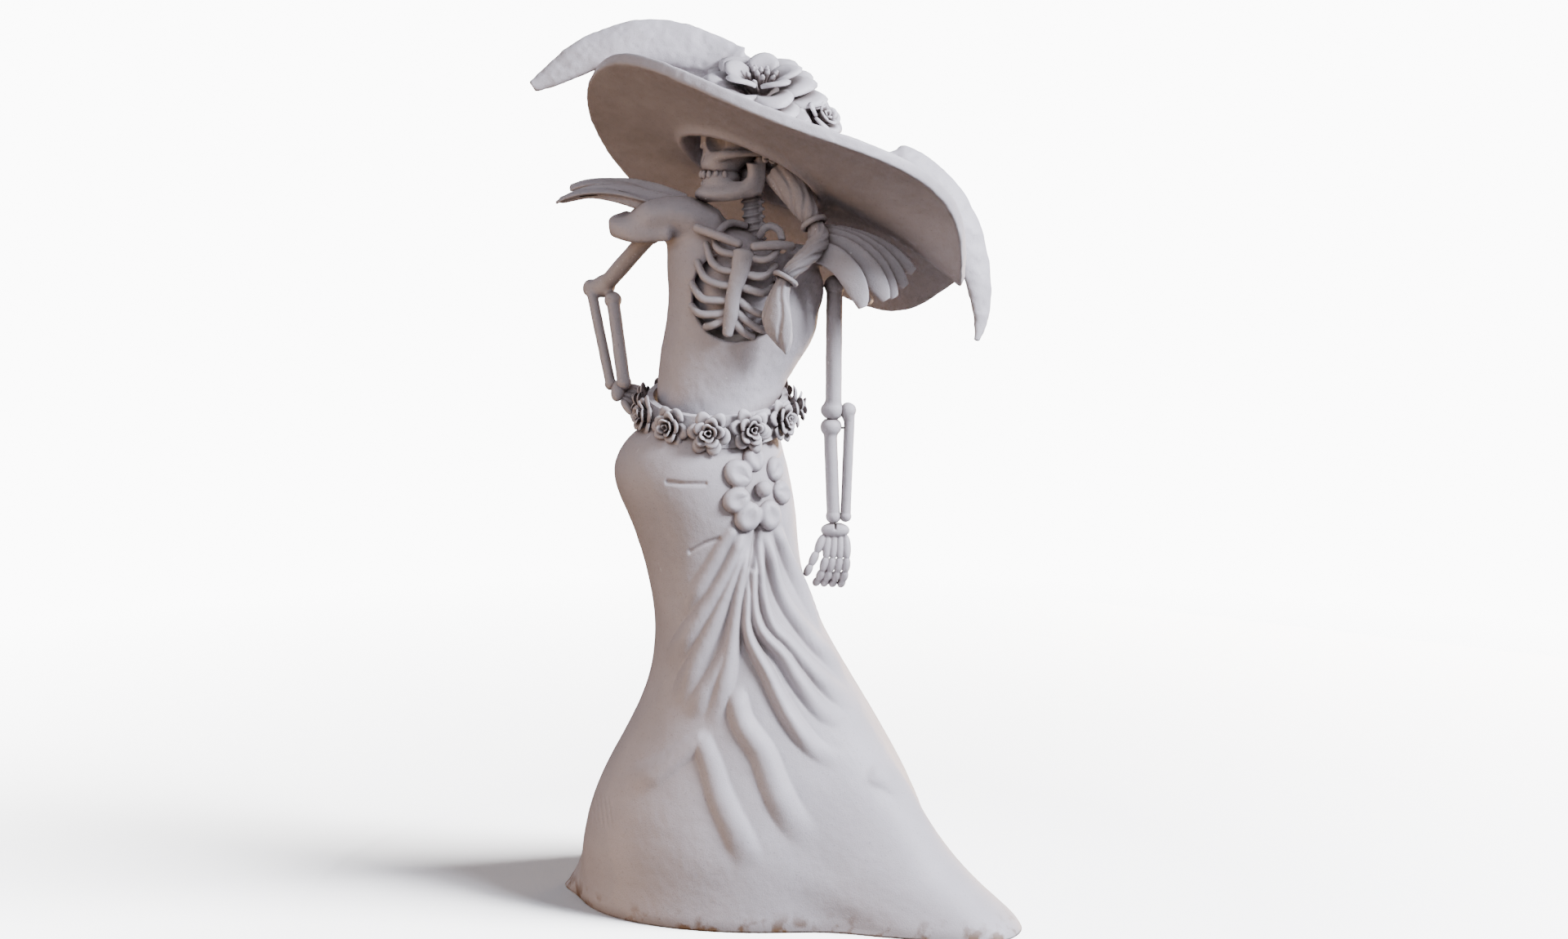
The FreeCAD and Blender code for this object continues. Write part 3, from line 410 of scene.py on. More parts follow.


# The second colour of each finish below is painted shade, laid into its hollows and gaps.
LILAC = (0.60, 0.565, 0.59)
PAINTED_SHADE_BROWN = (0.20, 0.16, 0.145)
PALE = (0.74, 0.71, 0.73)
DRESS = pulp("dress_pulp_finish", LILAC, PAINTED_SHADE_BROWN, PALE, stain=hem_stain)
BONE = pulp("bone_pulp_finish", (0.58, 0.545, 0.56), (0.15, 0.12, 0.11), PALE, grain=0.35)
HAIR = pulp("hair_pulp_finish", (0.53, 0.50, 0.515), (0.13, 0.105, 0.1), PALE, grain=0.4)
FLOWER = pulp("flower_pulp_finish", (0.59, 0.555, 0.575), (0.14, 0.11, 0.1), PALE)
FEATHER = pulp("feather_pulp_finish", (0.59, 0.56, 0.585), PAINTED_SHADE_BROWN, PALE, grain=0.3)
HAT = pulp("hat_pulp_finish", (0.58, 0.545, 0.565), PAINTED_SHADE_BROWN, PALE, grain=0.3)
BOARD = pulp("board_finish", (0.30, 0.21, 0.13), (0.1, 0.07, 0.05), (0.42, 0.31, 0.2),
             stretch=(1, 8, 1))
PLASTER = pulp("plaster_finish", (0.62, 0.6, 0.56), (0.3, 0.28, 0.25), (0.75, 0.73, 0.7),
               rough=(0.7, 0.9))
CORE = pulp("core_finish", (0.33, 0.28, 0.25), (0.1, 0.08, 0.07), (0.4, 0.35, 0.3),
            rough=(0.7, 0.9))


def steel(name):
    """Dull drawn wire with fine lengthwise scratches."""
    # The second colour here is painted shade for the wire's hollows.
    material = pulp(name, (0.36, 0.35, 0.34), (0.12, 0.1, 0.09), (0.55, 0.54, 0.52),
                    rough=(0.28, 0.5), grain=0.2, stretch=(6, 6, 1))
    material.node_tree.nodes["Principled BSDF"].inputs["Metallic"].default_value = 0.9
    return material


WIRE = steel("wire_finish")


# ---------------------------------------------------------------- skirt

SKIRT = surface_of("skirt_shell", "skirt_hip")
WALL = 3.0
# Guide lines of the cloth's rolls on the front, as (x, z) in mm, with each roll's greatest
# height and its half-width at the start and the end.
ROLLS = [
    ([(-22, 203), (-30, 192), (-36.5, 180), (-44.7, 165.5), (-56, 150)], 2.2, 3.5, 7),
    ([(-19, 201), (-27.6, 180), (-40.2, 157.7), (-51, 139.5), (-60, 120)], 3.2, 3.5, 8),
    ([(-17, 200), (-28.4, 168.4), (-36.6, 148.6), (-48.1, 122.4), (-56, 104)], 3.0, 3.2, 8),
    ([(-22, 160), (-27.7, 139.5), (-40.4, 117), (-50, 100)], 2.6, 3.2, 8),
    ([(-17, 195), (-22, 172), (-25, 150), (-28.5, 129.9), (-33, 112), (-40, 92)], 3.2, 3, 8),
    ([(-16.2, 196.3), (-19.1, 158.5), (-17, 144), (-8.5, 127.8), (-1, 112.4), (8, 98),
      (18, 88), (40, 78)], 4.2, 3, 6.5),
    ([(-14, 197), (-16, 168), (-12.6, 150), (-1, 136), (8, 122), (20.8, 106), (38.4, 100)],
     4.2, 3, 6),
    ([(-12.1, 198), (-12, 172), (-7, 152), (2, 141.5), (15, 126.2), (27, 114), (42, 100)],
     4.0, 3, 5.5),
    ([(-9, 200), (-5, 176), (1, 160), (13, 143), (26, 128.7), (38, 114)], 3.8, 3, 5),
    ([(-5, 203), (2, 182), (9.5, 166), (18.5, 150), (26, 138)], 3.2, 3, 4.5),
    ([(-25, 125), (-21.5, 105.3), (-11.1, 89.4), (-4.9, 73.5), (4.5, 55.4), (21.8, 38)],
     3.4, 6, 10),
    ([(-44, 100), (-37, 84), (-31, 66), (-20.6, 44.4), (-14, 28)], 2.6, 6, 10),
    ([(-36, 98), (-50, 88), (-66, 76), (-84, 64)], 2.2, 5, 9),
    ([(40, 78), (56, 72), (70, 60), (88, 34)], 2.2, 6, 12),
]
# Sharp creases as (x, z) lines with a depth and a half-width.
CREASES = [
    ([(-58, 223.6), (-50, 222.9), (-39, 223)], 1.1, 0.9),
    ([(-47, 188.1), (-40, 192.4), (-32.4, 195)], 1.1, 0.9),
    ([(-13.4, 199), (-15, 188), (-16.6, 180)], 2.4, 1.4),
    ([(1, 236), (-2, 232)], 1.6, 1.6),
    ([(6, 216), (1, 213)], 1.6, 1.6),
]


def line_distance(x, z, line):
    """Distance to a line in the front view, and how far along it, from 0 to 1."""
    line = np.asarray(line, float)
    best = np.full(x.shape, 1e9)
    along = np.zeros(x.shape)
    for k, (a, b) in enumerate(zip(line, line[1:])):
        d = b - a
        t = np.clip(((x - a[0]) * d[0] + (z - a[1]) * d[1]) / (d @ d), 0, 1)
        off = np.hypot(x - a[0] - t * d[0], z - a[1] - t * d[1])
        closer = off < best
        best = np.where(closer, off, best)
        along = np.where(closer, (k + t) / (len(line) - 1), along)
    return best, along


def drape(at, normal):
    """How far the cloth stands out from the plain skirt, in mm."""
    x, y, z = at.T
    front = step_up(-normal[:, 1], -0.05, 0.35)
    rolls = np.zeros(len(at))
    for line, height, narrow, wide in ROLLS:
        off, along = line_distance(x, z, smooth_path(line, 24))
        width = narrow + (wide - narrow) * along
        fade = step_up(along, 0.0, 0.14) * step_up(1 - along, 0.0, 0.35)
        rise = 1.25 * height * fade * np.clip(1 - (off / width) ** 2, 0, None) ** 1.2
        rolls = -soft_min(-rolls, -rise, 0.6)
    out = front * (rolls - 0.9 * step_up(z, 90, 130) * step_up(-z, -205, -190)
                   * step_up(-np.abs(x + 10), -40, -25))
    for line, depth, width in CREASES:
        off, along = line_distance(x, z, line)
        out -= front * depth * np.exp(-(off / width) ** 2)
    # Low hanging folds run down the back and into the train.
    turn = np.arctan2(y, x + 12)
    back = step_up(normal[:, 1], -0.2, 0.4)
    low = step_up(-z, -170, -20)
    out += back * low * (1.7 * np.sin(9 * turn + 0.8 * np.sin(z / 40))
                         + 0.9 * np.sin(15 * turn - z / 60 + 1))
    comb = step_up(-np.abs(x + 94), -9, -6) * step_up(-np.abs(z - 52), -9, -5)
    out -= front * 0.25 * comb * np.clip(np.sin((x + z * 0.2) * 2.4), 0, 1)
    out += 0.22 * lumps(at, 22, 3) + 0.07 * lumps(at, 4, 8)
    return out


def build_skirt():
    turns, levels, turned_under = 720, 300, 26
    low, high = reach("skirt_shell", "skirt_hip")
    heights = low[2] + 0.15 + (high[2] - low[2] - 0.4) * np.linspace(0, 1, levels)
    angles = np.linspace(0, 2 * math.pi, turns, endpoint=False)
    rows = []
    for z in heights:
        hits = [SKIRT.ray_cast(Vector((x, 0, z)), Vector((s, 0, 0)))[0]
                for x, s in ((-400, 1), (400, -1))]
        middle_x = (hits[0].x + hits[1].x) / 2
        row = []
        for a in angles:
            way = Vector((math.cos(a), math.sin(a), 0))
            start = Vector((middle_x, 0, z)) + way * 300
            hit = SKIRT.ray_cast(start, -way)[0]
            row.append((hit.x, hit.y, z))
        rows.append(row)
    shell = np.array(rows)
    du = np.roll(shell, -1, 1) - np.roll(shell, 1, 1)
    dv = np.gradient(shell, axis=0)
    normal = np.cross(du, dv)
    normal /= np.linalg.norm(normal, axis=2, keepdims=True)
    out = drape(shell.reshape(-1, 3), normal.reshape(-1, 3)).reshape(levels, turns)
    calm = step_up(shell[..., 2], 0, 6)
    flat = normal * np.array([1, 1, 0])
    skin = shell + flat * (np.minimum(out * (0.3 + 0.7 * calm), 6))[..., None]
    inner = shell[:turned_under] - flat[:turned_under] * (WALL - 0.3)
    corners = np.vstack([inner[::-1].reshape(-1, 3), skin.reshape(-1, 3)])
    faces = grid_faces(turned_under + levels, turns, wrap=True)
    make("skirt", corners, faces, DRESS, ["skirt_shell", "skirt_hip"])


build_skirt()


def skirt_front(x, z):
    """The plain skirt's front surface under a point in the front view."""
    hit, normal, _, _ = SKIRT.ray_cast(Vector((x, -300, z)), Vector((0, 1, 0)))
    return np.array(hit), np.array(normal if normal.y < 0 else -normal)


def build_hip_flower():
    """Seven round lobes and a button, pressed on to the hip."""
    x, _, z = middle("hip_flower_button")
    lobes = [(-11.2, 8.4, 7), (-12, -4.6, 6.6), (-6.4, -13.2, 7), (4.2, -13.4, 7),
             (10, -3, 6), (-3.6, 15.2, 6), (6.6, 9, 5.8)]
    low, high = reach("hip_flower_petals")
    # The hip curves away behind the lobes on the figure's left, so there is more room there.
    clay = Clay(low - 4, high + np.array([8, 20, 4]), 0.4)
    for dx, dz, size in lobes:
        seat, normal = skirt_front(x + dx, z + dz)
        along = unit((dx, 0, dz))
        side = unit(np.cross(along, normal))
        axes = np.array([unit(np.cross(normal, side)), side, normal])
        clay.join(blob(seat + normal * 0.6, (size * 1.12, size, 4.2), axes), 1.2)
        clay.cut(blob(seat + normal * 6.2, (size * 0.7, size * 0.6, 2.8), axes), 1.5)
        root, root_normal = skirt_front(x + dx * 0.3, z + dz * 0.3)
        clay.cut(strand([(*(root + root_normal * 4.4), 0.5), (*(seat + normal * 4.6), 0.5)]),
                 1.4)
    sculpt("hip_flower_petals_form", clay, DRESS, ["hip_flower_petals"],
           rough=0.1)
    seat, normal = skirt_front(x, z)
    clay = Clay(*(middle("hip_flower_button") + d for d in (-7, 7)), 0.35)
    clay.join(blob(seat + normal * 3, (4.3, 4.3, 4.3)))
    sculpt("hip_flower_button_form", clay, DRESS, ["hip_flower_button"],
           rough=0.08)


build_hip_flower()


# ---------------------------------------------------------------- petals

def petal_sheet(base, axis, start, turn, half_angle, root, out, rise, curl, thick, seed):
    """One petal standing round an axis, as corners and faces of a thin closed sheet."""
    across, along = 11, 9
    side = np.cross(axis, start)
    rng = np.random.default_rng(seed)
    lean, wave, phase = rng.uniform(-0.12, 0.12), rng.uniform(0.03, 0.08), rng.uniform(0, 6)
    sheet = np.zeros((along, across, 3))
    for i, v in enumerate(np.linspace(0, 1, along)):
        for j, u in enumerate(np.linspace(-1, 1, across)):
            width = half_angle * (0.35 + 0.65 * math.sin(math.pi * min(v * 0.62 + 0.12, 0.5)))
            angle = turn + (u * width) + lean * v
            tip = 1 - 0.42 * abs(u) ** 1.6 * v
            radial = root + out * (v ** 1.25) * tip + wave * out * math.sin(3 * u + phase) * v
            height = rise * math.sin(0.5 * math.pi * min(v, 1)) * (1 - 0.22 * u * u * v)
            height -= curl * rise * max(v - 0.6, 0) ** 2 / 0.16 * (1 - 0.4 * u * u)
            radial -= 0.16 * out * u * u * (1 - v)
            way = start * math.cos(angle) + side * math.sin(angle)
            sheet[i, j] = base + way * radial + axis * height
    du = np.gradient(sheet, axis=1)
    dv = np.gradient(sheet, axis=0)
    normal = np.cross(du, dv)
    normal /= np.linalg.norm(normal, axis=2, keepdims=True) + 1e-9
    edge = np.ones((along, across, 1))
    edge[-1] = edge[:, 0] = edge[:, -1] = 0.55
    top = (sheet + normal * thick * edge / 2).reshape(-1, 3)
    bottom = (sheet - normal * thick * edge / 2).reshape(-1, 3)
    n = along * across
    faces = grid_faces(along, across)
    faces += [tuple(n + i for i in f[::-1]) for f in grid_faces(along, across)]
    ring = (list(range(across)) + [i * across + across - 1 for i in range(1, along)]
            + [n - 1 - j for j in range(1, across)]
            + [i * across for i in range(along - 2, 0, -1)])
    for a, b in zip(ring, ring[1:] + ring[:1]):
        faces.append((b, a, n + a, n + b))
    return np.vstack([top, bottom]), faces


def gather(parts):
    """Several (corners, faces) as one."""
    corners, faces, count = [], [], 0
    for points, polygons in parts:
        corners.append(points)
        faces += [tuple(count + i for i in f) for f in polygons]
        count += len(points)
    return np.vstack(corners), faces


def rose(base, axis, radius, height, seed, rings, thick):
    """Rings of petals: (how many, half-angle, root, out, rise, curl) as shares of the size."""
    axis = unit(axis)
    start = unit(np.cross(axis, (0.3, 0.1, 1.0)))
    parts = []
    for k, (count, half, root, out, rise, curl) in enumerate(rings):
        for j in range(count):
            turn = 2 * math.pi * (j + 0.37 * k + 0.05 * math.sin(seed + 3 * j)) / count
            parts.append(petal_sheet(base, axis, start, turn, half, root * radius,
                                     out * radius, rise * height, curl, thick,
                                     seed * 100 + k * 10 + j))
    return gather(parts)


ROSE_RINGS = [(3, 1.2, 0.04, 0.12, 0.98, 0.0), (4, 0.85, 0.1, 0.3, 1.04, 0.04),
              (5, 0.66, 0.16, 0.52, 0.9, 0.12), (6, 0.56, 0.22, 0.74, 0.6, 0.28)]


def build_belt_roses():
    centre = middle("belt_band")
    for k in range(1, 12):
        node = f"belt_rose_{k:02d}"
        at = middle(node)
        axis = unit((at - centre) * (1, 1.2, 0) + (0, 0, 3))
        base = at - axis * 3.4
        corners, faces = rose(base, axis, 12.0, 9.8, k, ROSE_RINGS, 0.6)
        make(node + "_petals", corners, faces, FLOWER, [node])


build_belt_roses()


# ---------------------------------------------------------------- body

def build_torso():
    """Dress top and sleeve caps as one skin, with a shallow hollow behind the ribs."""
    clay = Clay.of("bodice_shell", "right_sleeve_cap", "left_sleeve_cap", step=0.6, soft=8)
    low, high = reach("sternum")
    x, _, z = (low + high) / 2
    clay.join(blob((x + 2, 4, z + 1), (26, 28, 29)), 3)
    cap = middle("right_sleeve_cap")
    clay.join(strand([(x, 0, z + 22, 12, 10), (x - 14, 0, z + 31, 14, 9),
                      (x - 28, 0, cap[2] + 4, 15, 7), (x - 42, 0, cap[2] + 4, 14, 6)],
                     (0, 1, 0), 14), 9)
    rim = [(cap[0] - 20, 9, cap[2] + 1, 4, 3.2), (cap[0] - 25, -2, cap[2] - 2, 4, 3.4),
           (cap[0] - 17, -12, cap[2] - 7, 4, 3.2), (cap[0] + 2, -15, cap[2] - 7, 4, 3)]
    clay.join(strand(rim, (0, 0, 1), 18), 3)
    arm = middle("left_humerus")
    clay.join(blob((arm[0] - 16.5, 1, z + 2), (11, 12, 13)), 7)
    clay.soften(3)
    sculpt("dress_top", clay, DRESS,
           ["bodice_shell", "right_sleeve_cap", "left_sleeve_cap"],
           rough=0.22, seed=4)


# Ribs as (x, y, z) from the breastbone outwards, first for the right side and then the left.
RIBS = {
    "right_ribs": [
        [(-23, -28.5, 336), (-29.5, -28.5, 337.2), (-33.2, -26.5, 339.6), (-34.5, -22, 343)],
        [(-25.9, -29, 328), (-31.2, -28.5, 328.8), (-36, -27.5, 332.8), (-38.6, -22, 341)],
        [(-27.1, -29, 320.7), (-32.8, -28.5, 321.5), (-39.3, -27.5, 324.7),
         (-43.2, -22, 332.2)],
        [(-27, -28.5, 313.4), (-34.5, -28.5, 313.4), (-41, -27.5, 314.6), (-46, -23, 321.5)],
        [(-28, -28, 307.7), (-35.3, -27.8, 306.5), (-41.8, -27, 306.8), (-46, -23.5, 310.5)],
        [(-28.5, -27.5, 304.1), (-35.4, -27, 301.2), (-38.7, -25, 300.3)]],
    "left_ribs": [
        [(-18, -28.5, 335), (-10.1, -29, 333.6), (-5.3, -28, 335.6), (-2.8, -24, 339.6)],
        [(-20, -28.5, 327.2), (-13.4, -29, 325.2), (-7.7, -28, 326.3), (-4.5, -24, 330.7)],
        [(-22, -28.5, 320.5), (-15.8, -29, 318.3), (-10.1, -28, 317), (-5, -24, 320)],
        [(-23.5, -28.5, 314), (-16.6, -28.5, 309), (-11, -28, 306.5), (-6, -24, 308.8)],
        [(-24.5, -28, 308.5), (-17.5, -28, 302.5), (-11, -27, 298.8), (-7, -24, 299.8)],
        [(-25.5, -28, 303.3), (-19.9, -27.5, 297.6), (-15.9, -25.5, 295.4)]],
}
NECK_LOOPS = [[(-33, -22, 346.5), (-30, -17, 350), (-26, -10, 351.5), (-20, -4, 350)],
              [(-12, -10, 345), (-10, -13, 348.5), (-6.5, -14, 350), (-2.5, -17, 348),
               (-1, -22, 344)]]


def build_rib_cage():
    for node, ribs in RIBS.items():
        clay = Clay(*(np.array(c) for c in ((-52, -34, 288), (4, -4, 356))), 0.4)
        for rib in ribs:
            clay.join(strand([(*p, 2.35 - 0.12 * k) for k, p in enumerate(rib)], count=12), 0.3)
        loop = NECK_LOOPS[node == "left_ribs"]
        clay.join(strand([(*p, 2.0) for p in loop], count=14))
        sculpt(node + "_form", clay, BONE, [node], rough=0.14)
    low, high = reach("sternum")
    clay = Clay(low - 3, high + 3, 0.35)
    clay.join(strand([(-19.9, -29.6, 337, 5.6, 2.6), (-22, -30.2, 328, 4.8, 2.7),
                      (-25, -30, 317, 3.9, 2.6), (-26.5, -29.6, 306, 3.9, 2.5),
                      (-28.1, -28.4, 297, 2.8, 2)], (1, 0, 0), 16))
    sculpt("sternum_form", clay, BONE, ["sternum"], rough=0.2)
    for node, line in (("right_clavicle", [(-22.6, -29.4, 341.7), (-30.3, -29, 344.5),
                                           (-37.6, -26, 347.2), (-43, -22, 349)]),
                       ("left_clavicle", [(-14.5, -29.4, 340.1), (-8.5, -29, 340.5),
                                          (-2, -27, 340.8), (3.5, -23.5, 340)])):
        clay = Clay(*(np.array(c) for c in ((-50, -35, 332), (10, -15, 356))), 0.35)
        clay.join(strand([(*p, 2.5) for p in line], count=10))
        sculpt(node + "_form", clay, BONE, [node], rough=0.14)
    low, high = reach("neck_vertebrae")
    foot, top = np.array([-15, 1.5, low[2] - 2]), np.array([-17.5, 2, high[2] + 1])
    clay = Clay(low - 4, high + 4, 0.35)
    clay.join(strand([(*foot, 4.4), (*top, 4.1)]))
    for k in range(10):
        at = foot + (top - foot) * (k + 0.5) / 10
        tilt = np.array([unit((1, -0.1, 0.22)), unit((0.1, 1, 0)), unit((-0.22, 0, 1))])
        clay.join(blob(at, (5.6, 5.5, 1.75), tilt), 0.7)
        clay.join(blob(at + (5.0, -1.5, -0.8), (1.9, 1.7, 1.3)), 0.8)
    sculpt("neck_vertebrae_form", clay, BONE, ["neck_vertebrae"],
           rough=0.15)


build_torso()
build_rib_cage()


def build_arms():
    """Arm bones; the fixed arm's long bones run into each other at the elbow."""
    clay = Clay.of("right_humerus", "right_radius", "right_ulna", step=0.45, soft=2.5, room=2)
    low, _ = reach("right_humerus")
    clay.grow(0.7)
    elbow = np.array([low[0] + 4.5, 43.5, low[2] + 4.5])
    clay.join(blob(elbow, (5.4, 5.4, 5.8)), 2.5)
    clay.join(strand([(*elbow, 4.2), (elbow[0] - 8, elbow[1] + 2, elbow[2] - 2, 3.6)]), 2)
    clay.soften(1)
    sculpt("right_arm_bones", clay, BONE, ["right_humerus", "right_radius", "right_ulna"],
           rough=0.12)
    clay = Clay.of("left_humerus", step=0.4, room=3)
    joint = next(j for j in frame["joints"] if j["name"] == "left_elbow")
    pin = np.array(joint["pos_m"]) / MM
    knuckle = pin - (1, 0, 0)
    clay.grow(0.4)
    clay.join(blob(knuckle, (5.6, 4.7, 4.7)), 2)
    sculpt("left_humerus_form", clay, BONE, ["left_humerus"], body="left_upper_arm",
           rough=0.1)
    for node in ("left_radius", "left_ulna"):
        clay = Clay.of(node, step=0.4, room=3)
        clay.grow(0.6)
        low, high = reach(node)
        top = (low[0] + high[0]) / 2
        if node == "left_radius":
            clay.join(blob((top, pin[1], pin[2] - 8.4), (5.2, 4.8, 4.6)), 2)
        else:
            clay.join(blob((top - 0.6, pin[1], high[2] - 3.6), (3.3, 3.8, 4.6)), 2)
        clay.cut(blob(knuckle, (6.0, 5.2, 5.2)), 0.2)
        sculpt(node + "_form", clay, BONE, [node], body="left_forearm",
               rough=0.08)
    for side, body in (("right", FIGURE), ("left", "left_hand")):
        for node in (side + "_hand_bones", side + "_finger_bones"):
            clay = Clay.of(node, step=0.3, soft=1, room=2)
            clay.grow(1.1 if side == "left" else 0.8)
            sculpt(node + "_form", clay, BONE, [node], body=body,
                   rough=0.06)


build_arms()


# ---------------------------------------------------------------- head

TURN = math.radians(15)
FORWARD = np.array([-math.cos(TURN), -math.sin(TURN), 0])
SIDE = np.array([math.sin(TURN), -math.cos(TURN), 0])
HEAD_AXES = np.array([FORWARD, SIDE, (0, 0, 1)])


def head_centre():
    """The middle of the brain case, from the skull's box."""
    low, high = reach("skull")
    return np.array([(low[0] + high[0]) / 2 - 0.6, (low[1] + high[1]) / 2, high[2] - 19.5])


HEAD = head_centre()


def on_head(forward, side, up):
    return HEAD + FORWARD * forward + SIDE * side + np.array([0, 0, up])


def build_skull():
    clay = Clay.of("skull", step=0.4, room=1)
    clay.join(blob(on_head(15, 0, -17.6), (9.6, 9.1, 6.4), HEAD_AXES), 3)
    for s in (1, -1):
        brow = [(*on_head(17, 15 * s, 0), 1.4), (*on_head(22, 9 * s, 1), 2),
                (*on_head(23.3, 3.5 * s, -1.5), 1.8)]
        clay.join(strand(brow, count=8), 3)
        cheek = [(*on_head(19.5, 5 * s, -15), 2.4), (*on_head(16, 11.5 * s, -13.8), 2.6),
                 (*on_head(7, 15 * s, -13), 2), (*on_head(-6, 16.5 * s, -12.5), 1.8)]
        clay.join(strand(cheek, count=12), 2.5)
        clay.cut(blob(on_head(3, 18.5 * s, -5), (8, 2.8, 6), HEAD_AXES), 3)
        clay.cut(blob(on_head(20.5, 9.5 * s, -7), (5.5, 5.4, 4.4), HEAD_AXES), 1.4)
        clay.cut(blob(on_head(6, 14.5 * s, -19.5), (8, 3.5, 3.6), HEAD_AXES), 2)
    clay.cut(blob(on_head(25.8, 0, -14), (3.2, 2.1, 3.4), HEAD_AXES), 0.7)
    clay.join(strand([(*on_head(23.3, 0, -4.5), 1.5), (*on_head(24.6, 0, -9.5), 1)]), 1.5)
    clay.soften(1)
    sculpt("skull_form", clay, BONE, ["skull"], rough=0.16)


def build_jaw():
    """A deep chin and side plates, with the gums that carry the teeth."""
    clay = Clay.of("jaw", step=0.4, room=2)
    clay.join(blob(on_head(14.5, 0, -25.5), (9.6, 8.6, 6.6), HEAD_AXES), 1.5)
    chin = [(*on_head(2, -12, -30.5), 4, 2.2), (*on_head(12, -9.5, -31.5), 4.6, 2.4),
            (*on_head(20, -5, -32), 5, 2.6), (*on_head(22.5, 0, -32), 5, 2.8),
            (*on_head(20, 5, -32), 5, 2.6), (*on_head(12, 9.5, -31.5), 4.6, 2.4),
            (*on_head(2, 12, -30.5), 4, 2.2)]
    clay.join(strand(chin, (0, 0, 1), 26), 2.5)
    for s in (1, -1):
        plate = [(*on_head(0, 12.2 * s, -31), 4, 2), (*on_head(-2, 12.8 * s, -24), 3.9, 1.8),
                 (*on_head(-3.5, 13.2 * s, -15), 3.2, 1.7)]
        clay.join(strand(plate, FORWARD, 12), 2.5)
    clay.soften(1)
    sculpt("jaw_form", clay, BONE, ["jaw"], rough=0.14)
    clay = Clay.of("teeth", step=0.25, room=1)
    clay.grow(0.25)
    sculpt("teeth_form", clay, BONE, ["teeth"], rough=0.05)


build_skull()
build_jaw()


def twisted(way, broad, size, turns, count, seed):
    """Grooves winding round a lock of hair, as strands to cut."""
    rows = smooth_path(way, 40)
    grooves = []
    for k in range(count):
        line = []
        for i, row in enumerate(rows):
            t = i / (len(rows) - 1)
            along = unit(rows[min(i + 1, 39)][:3] - rows[max(i - 1, 0)][:3])
            side = unit(np.asarray(broad) - along * np.dot(broad, along))
            up = np.cross(along, side)
            angle = 2 * math.pi * (turns * t + k / count) + 0.4 * math.sin(5 * t + k + seed)
            point = (row[:3] + side * row[3] * 1.02 * math.cos(angle)
                     + up * row[4] * 1.02 * math.sin(angle))
            line.append((*point, size * (0.6 + 0.6 * math.sin(math.pi * t))))
        grooves.append(strand(line))
    return grooves


LOCKS = {
    "ponytail_upper": [(-4, -8, 377, 8, 6), (6, -16, 366, 8, 6), (11, -20, 358, 6.6, 5),
                       (14.5, -22, 352, 4.6, 4)],
    "ponytail_middle": [(15, -22, 351, 4.6, 4), (17, -26, 343, 6.6, 5), (9, -32, 333, 6.4, 5),
                        (1, -34, 325, 4.4, 3.8)],
    "ponytail_end": [(0.5, -34, 324, 4.4, 3.6), (-3, -35, 313, 6.6, 4), (-3, -34.5, 302, 8, 4),
                     (0, -33, 293, 4.6, 3), (1, -32, 286, 1.2, 1)],
}


def build_hair():
    broad = (0.6, -0.2, 0.7)
    for node, turns, count in (("ponytail_upper", 0.4, 6), ("ponytail_middle", 0.6, 6),
                               ("ponytail_end", 0.12, 5)):
        clay = Clay.of(node, step=0.4, room=0.5)
        for groove in twisted(LOCKS[node], broad, 0.6, turns, count, 2):
            clay.cut(groove, 1.4)
        clay.soften(1)
        sculpt(node + "_form", clay, HAIR, [node], rough=0.2)
    clay = Clay.of("hair_ties", step=0.35)
    clay.soften(1)
    sculpt("hair_ties_form", clay, HAIR, ["hair_ties"], rough=0.15)
    clay = Clay.of("hair_mass", step=0.45, room=0.5)
    low, high = reach("hair_mass")
    centre = (low + high) / 2
    radii = (high - low) / 2
    for k in range(16):
        line = []
        for t in np.linspace(-1.4, 1.4, 14):
            lift = -0.9 + 1.8 * (k % 8 + 0.5) / 8
            side = 1 if k < 8 else -1
            round_off = math.sqrt(max(1 - lift * lift, 0.05))
            line.append((centre[0] + radii[0] * 1.02 * round_off * math.sin(t),
                         centre[1] - side * radii[1] * 1.02 * round_off * math.cos(t),
                         centre[2] + radii[2] * (lift - 0.16 * t), 0.5))
        clay.cut(strand(line), 1.2)
    clay.soften(1)
    sculpt("hair_mass_form", clay, HAIR, ["hair_mass"], rough=0.2)
    at = middle("hair_rose")
    corners, faces = rose(at + (0, 1.2, 0), (0.15, -1, 0.05), 5.6, 4.2, 31, ROSE_RINGS, 0.55)
    make("hair_rose_petals", corners, faces, HAIR, ["hair_rose"])


build_hair()


# ---------------------------------------------------------------- feathers and plumes

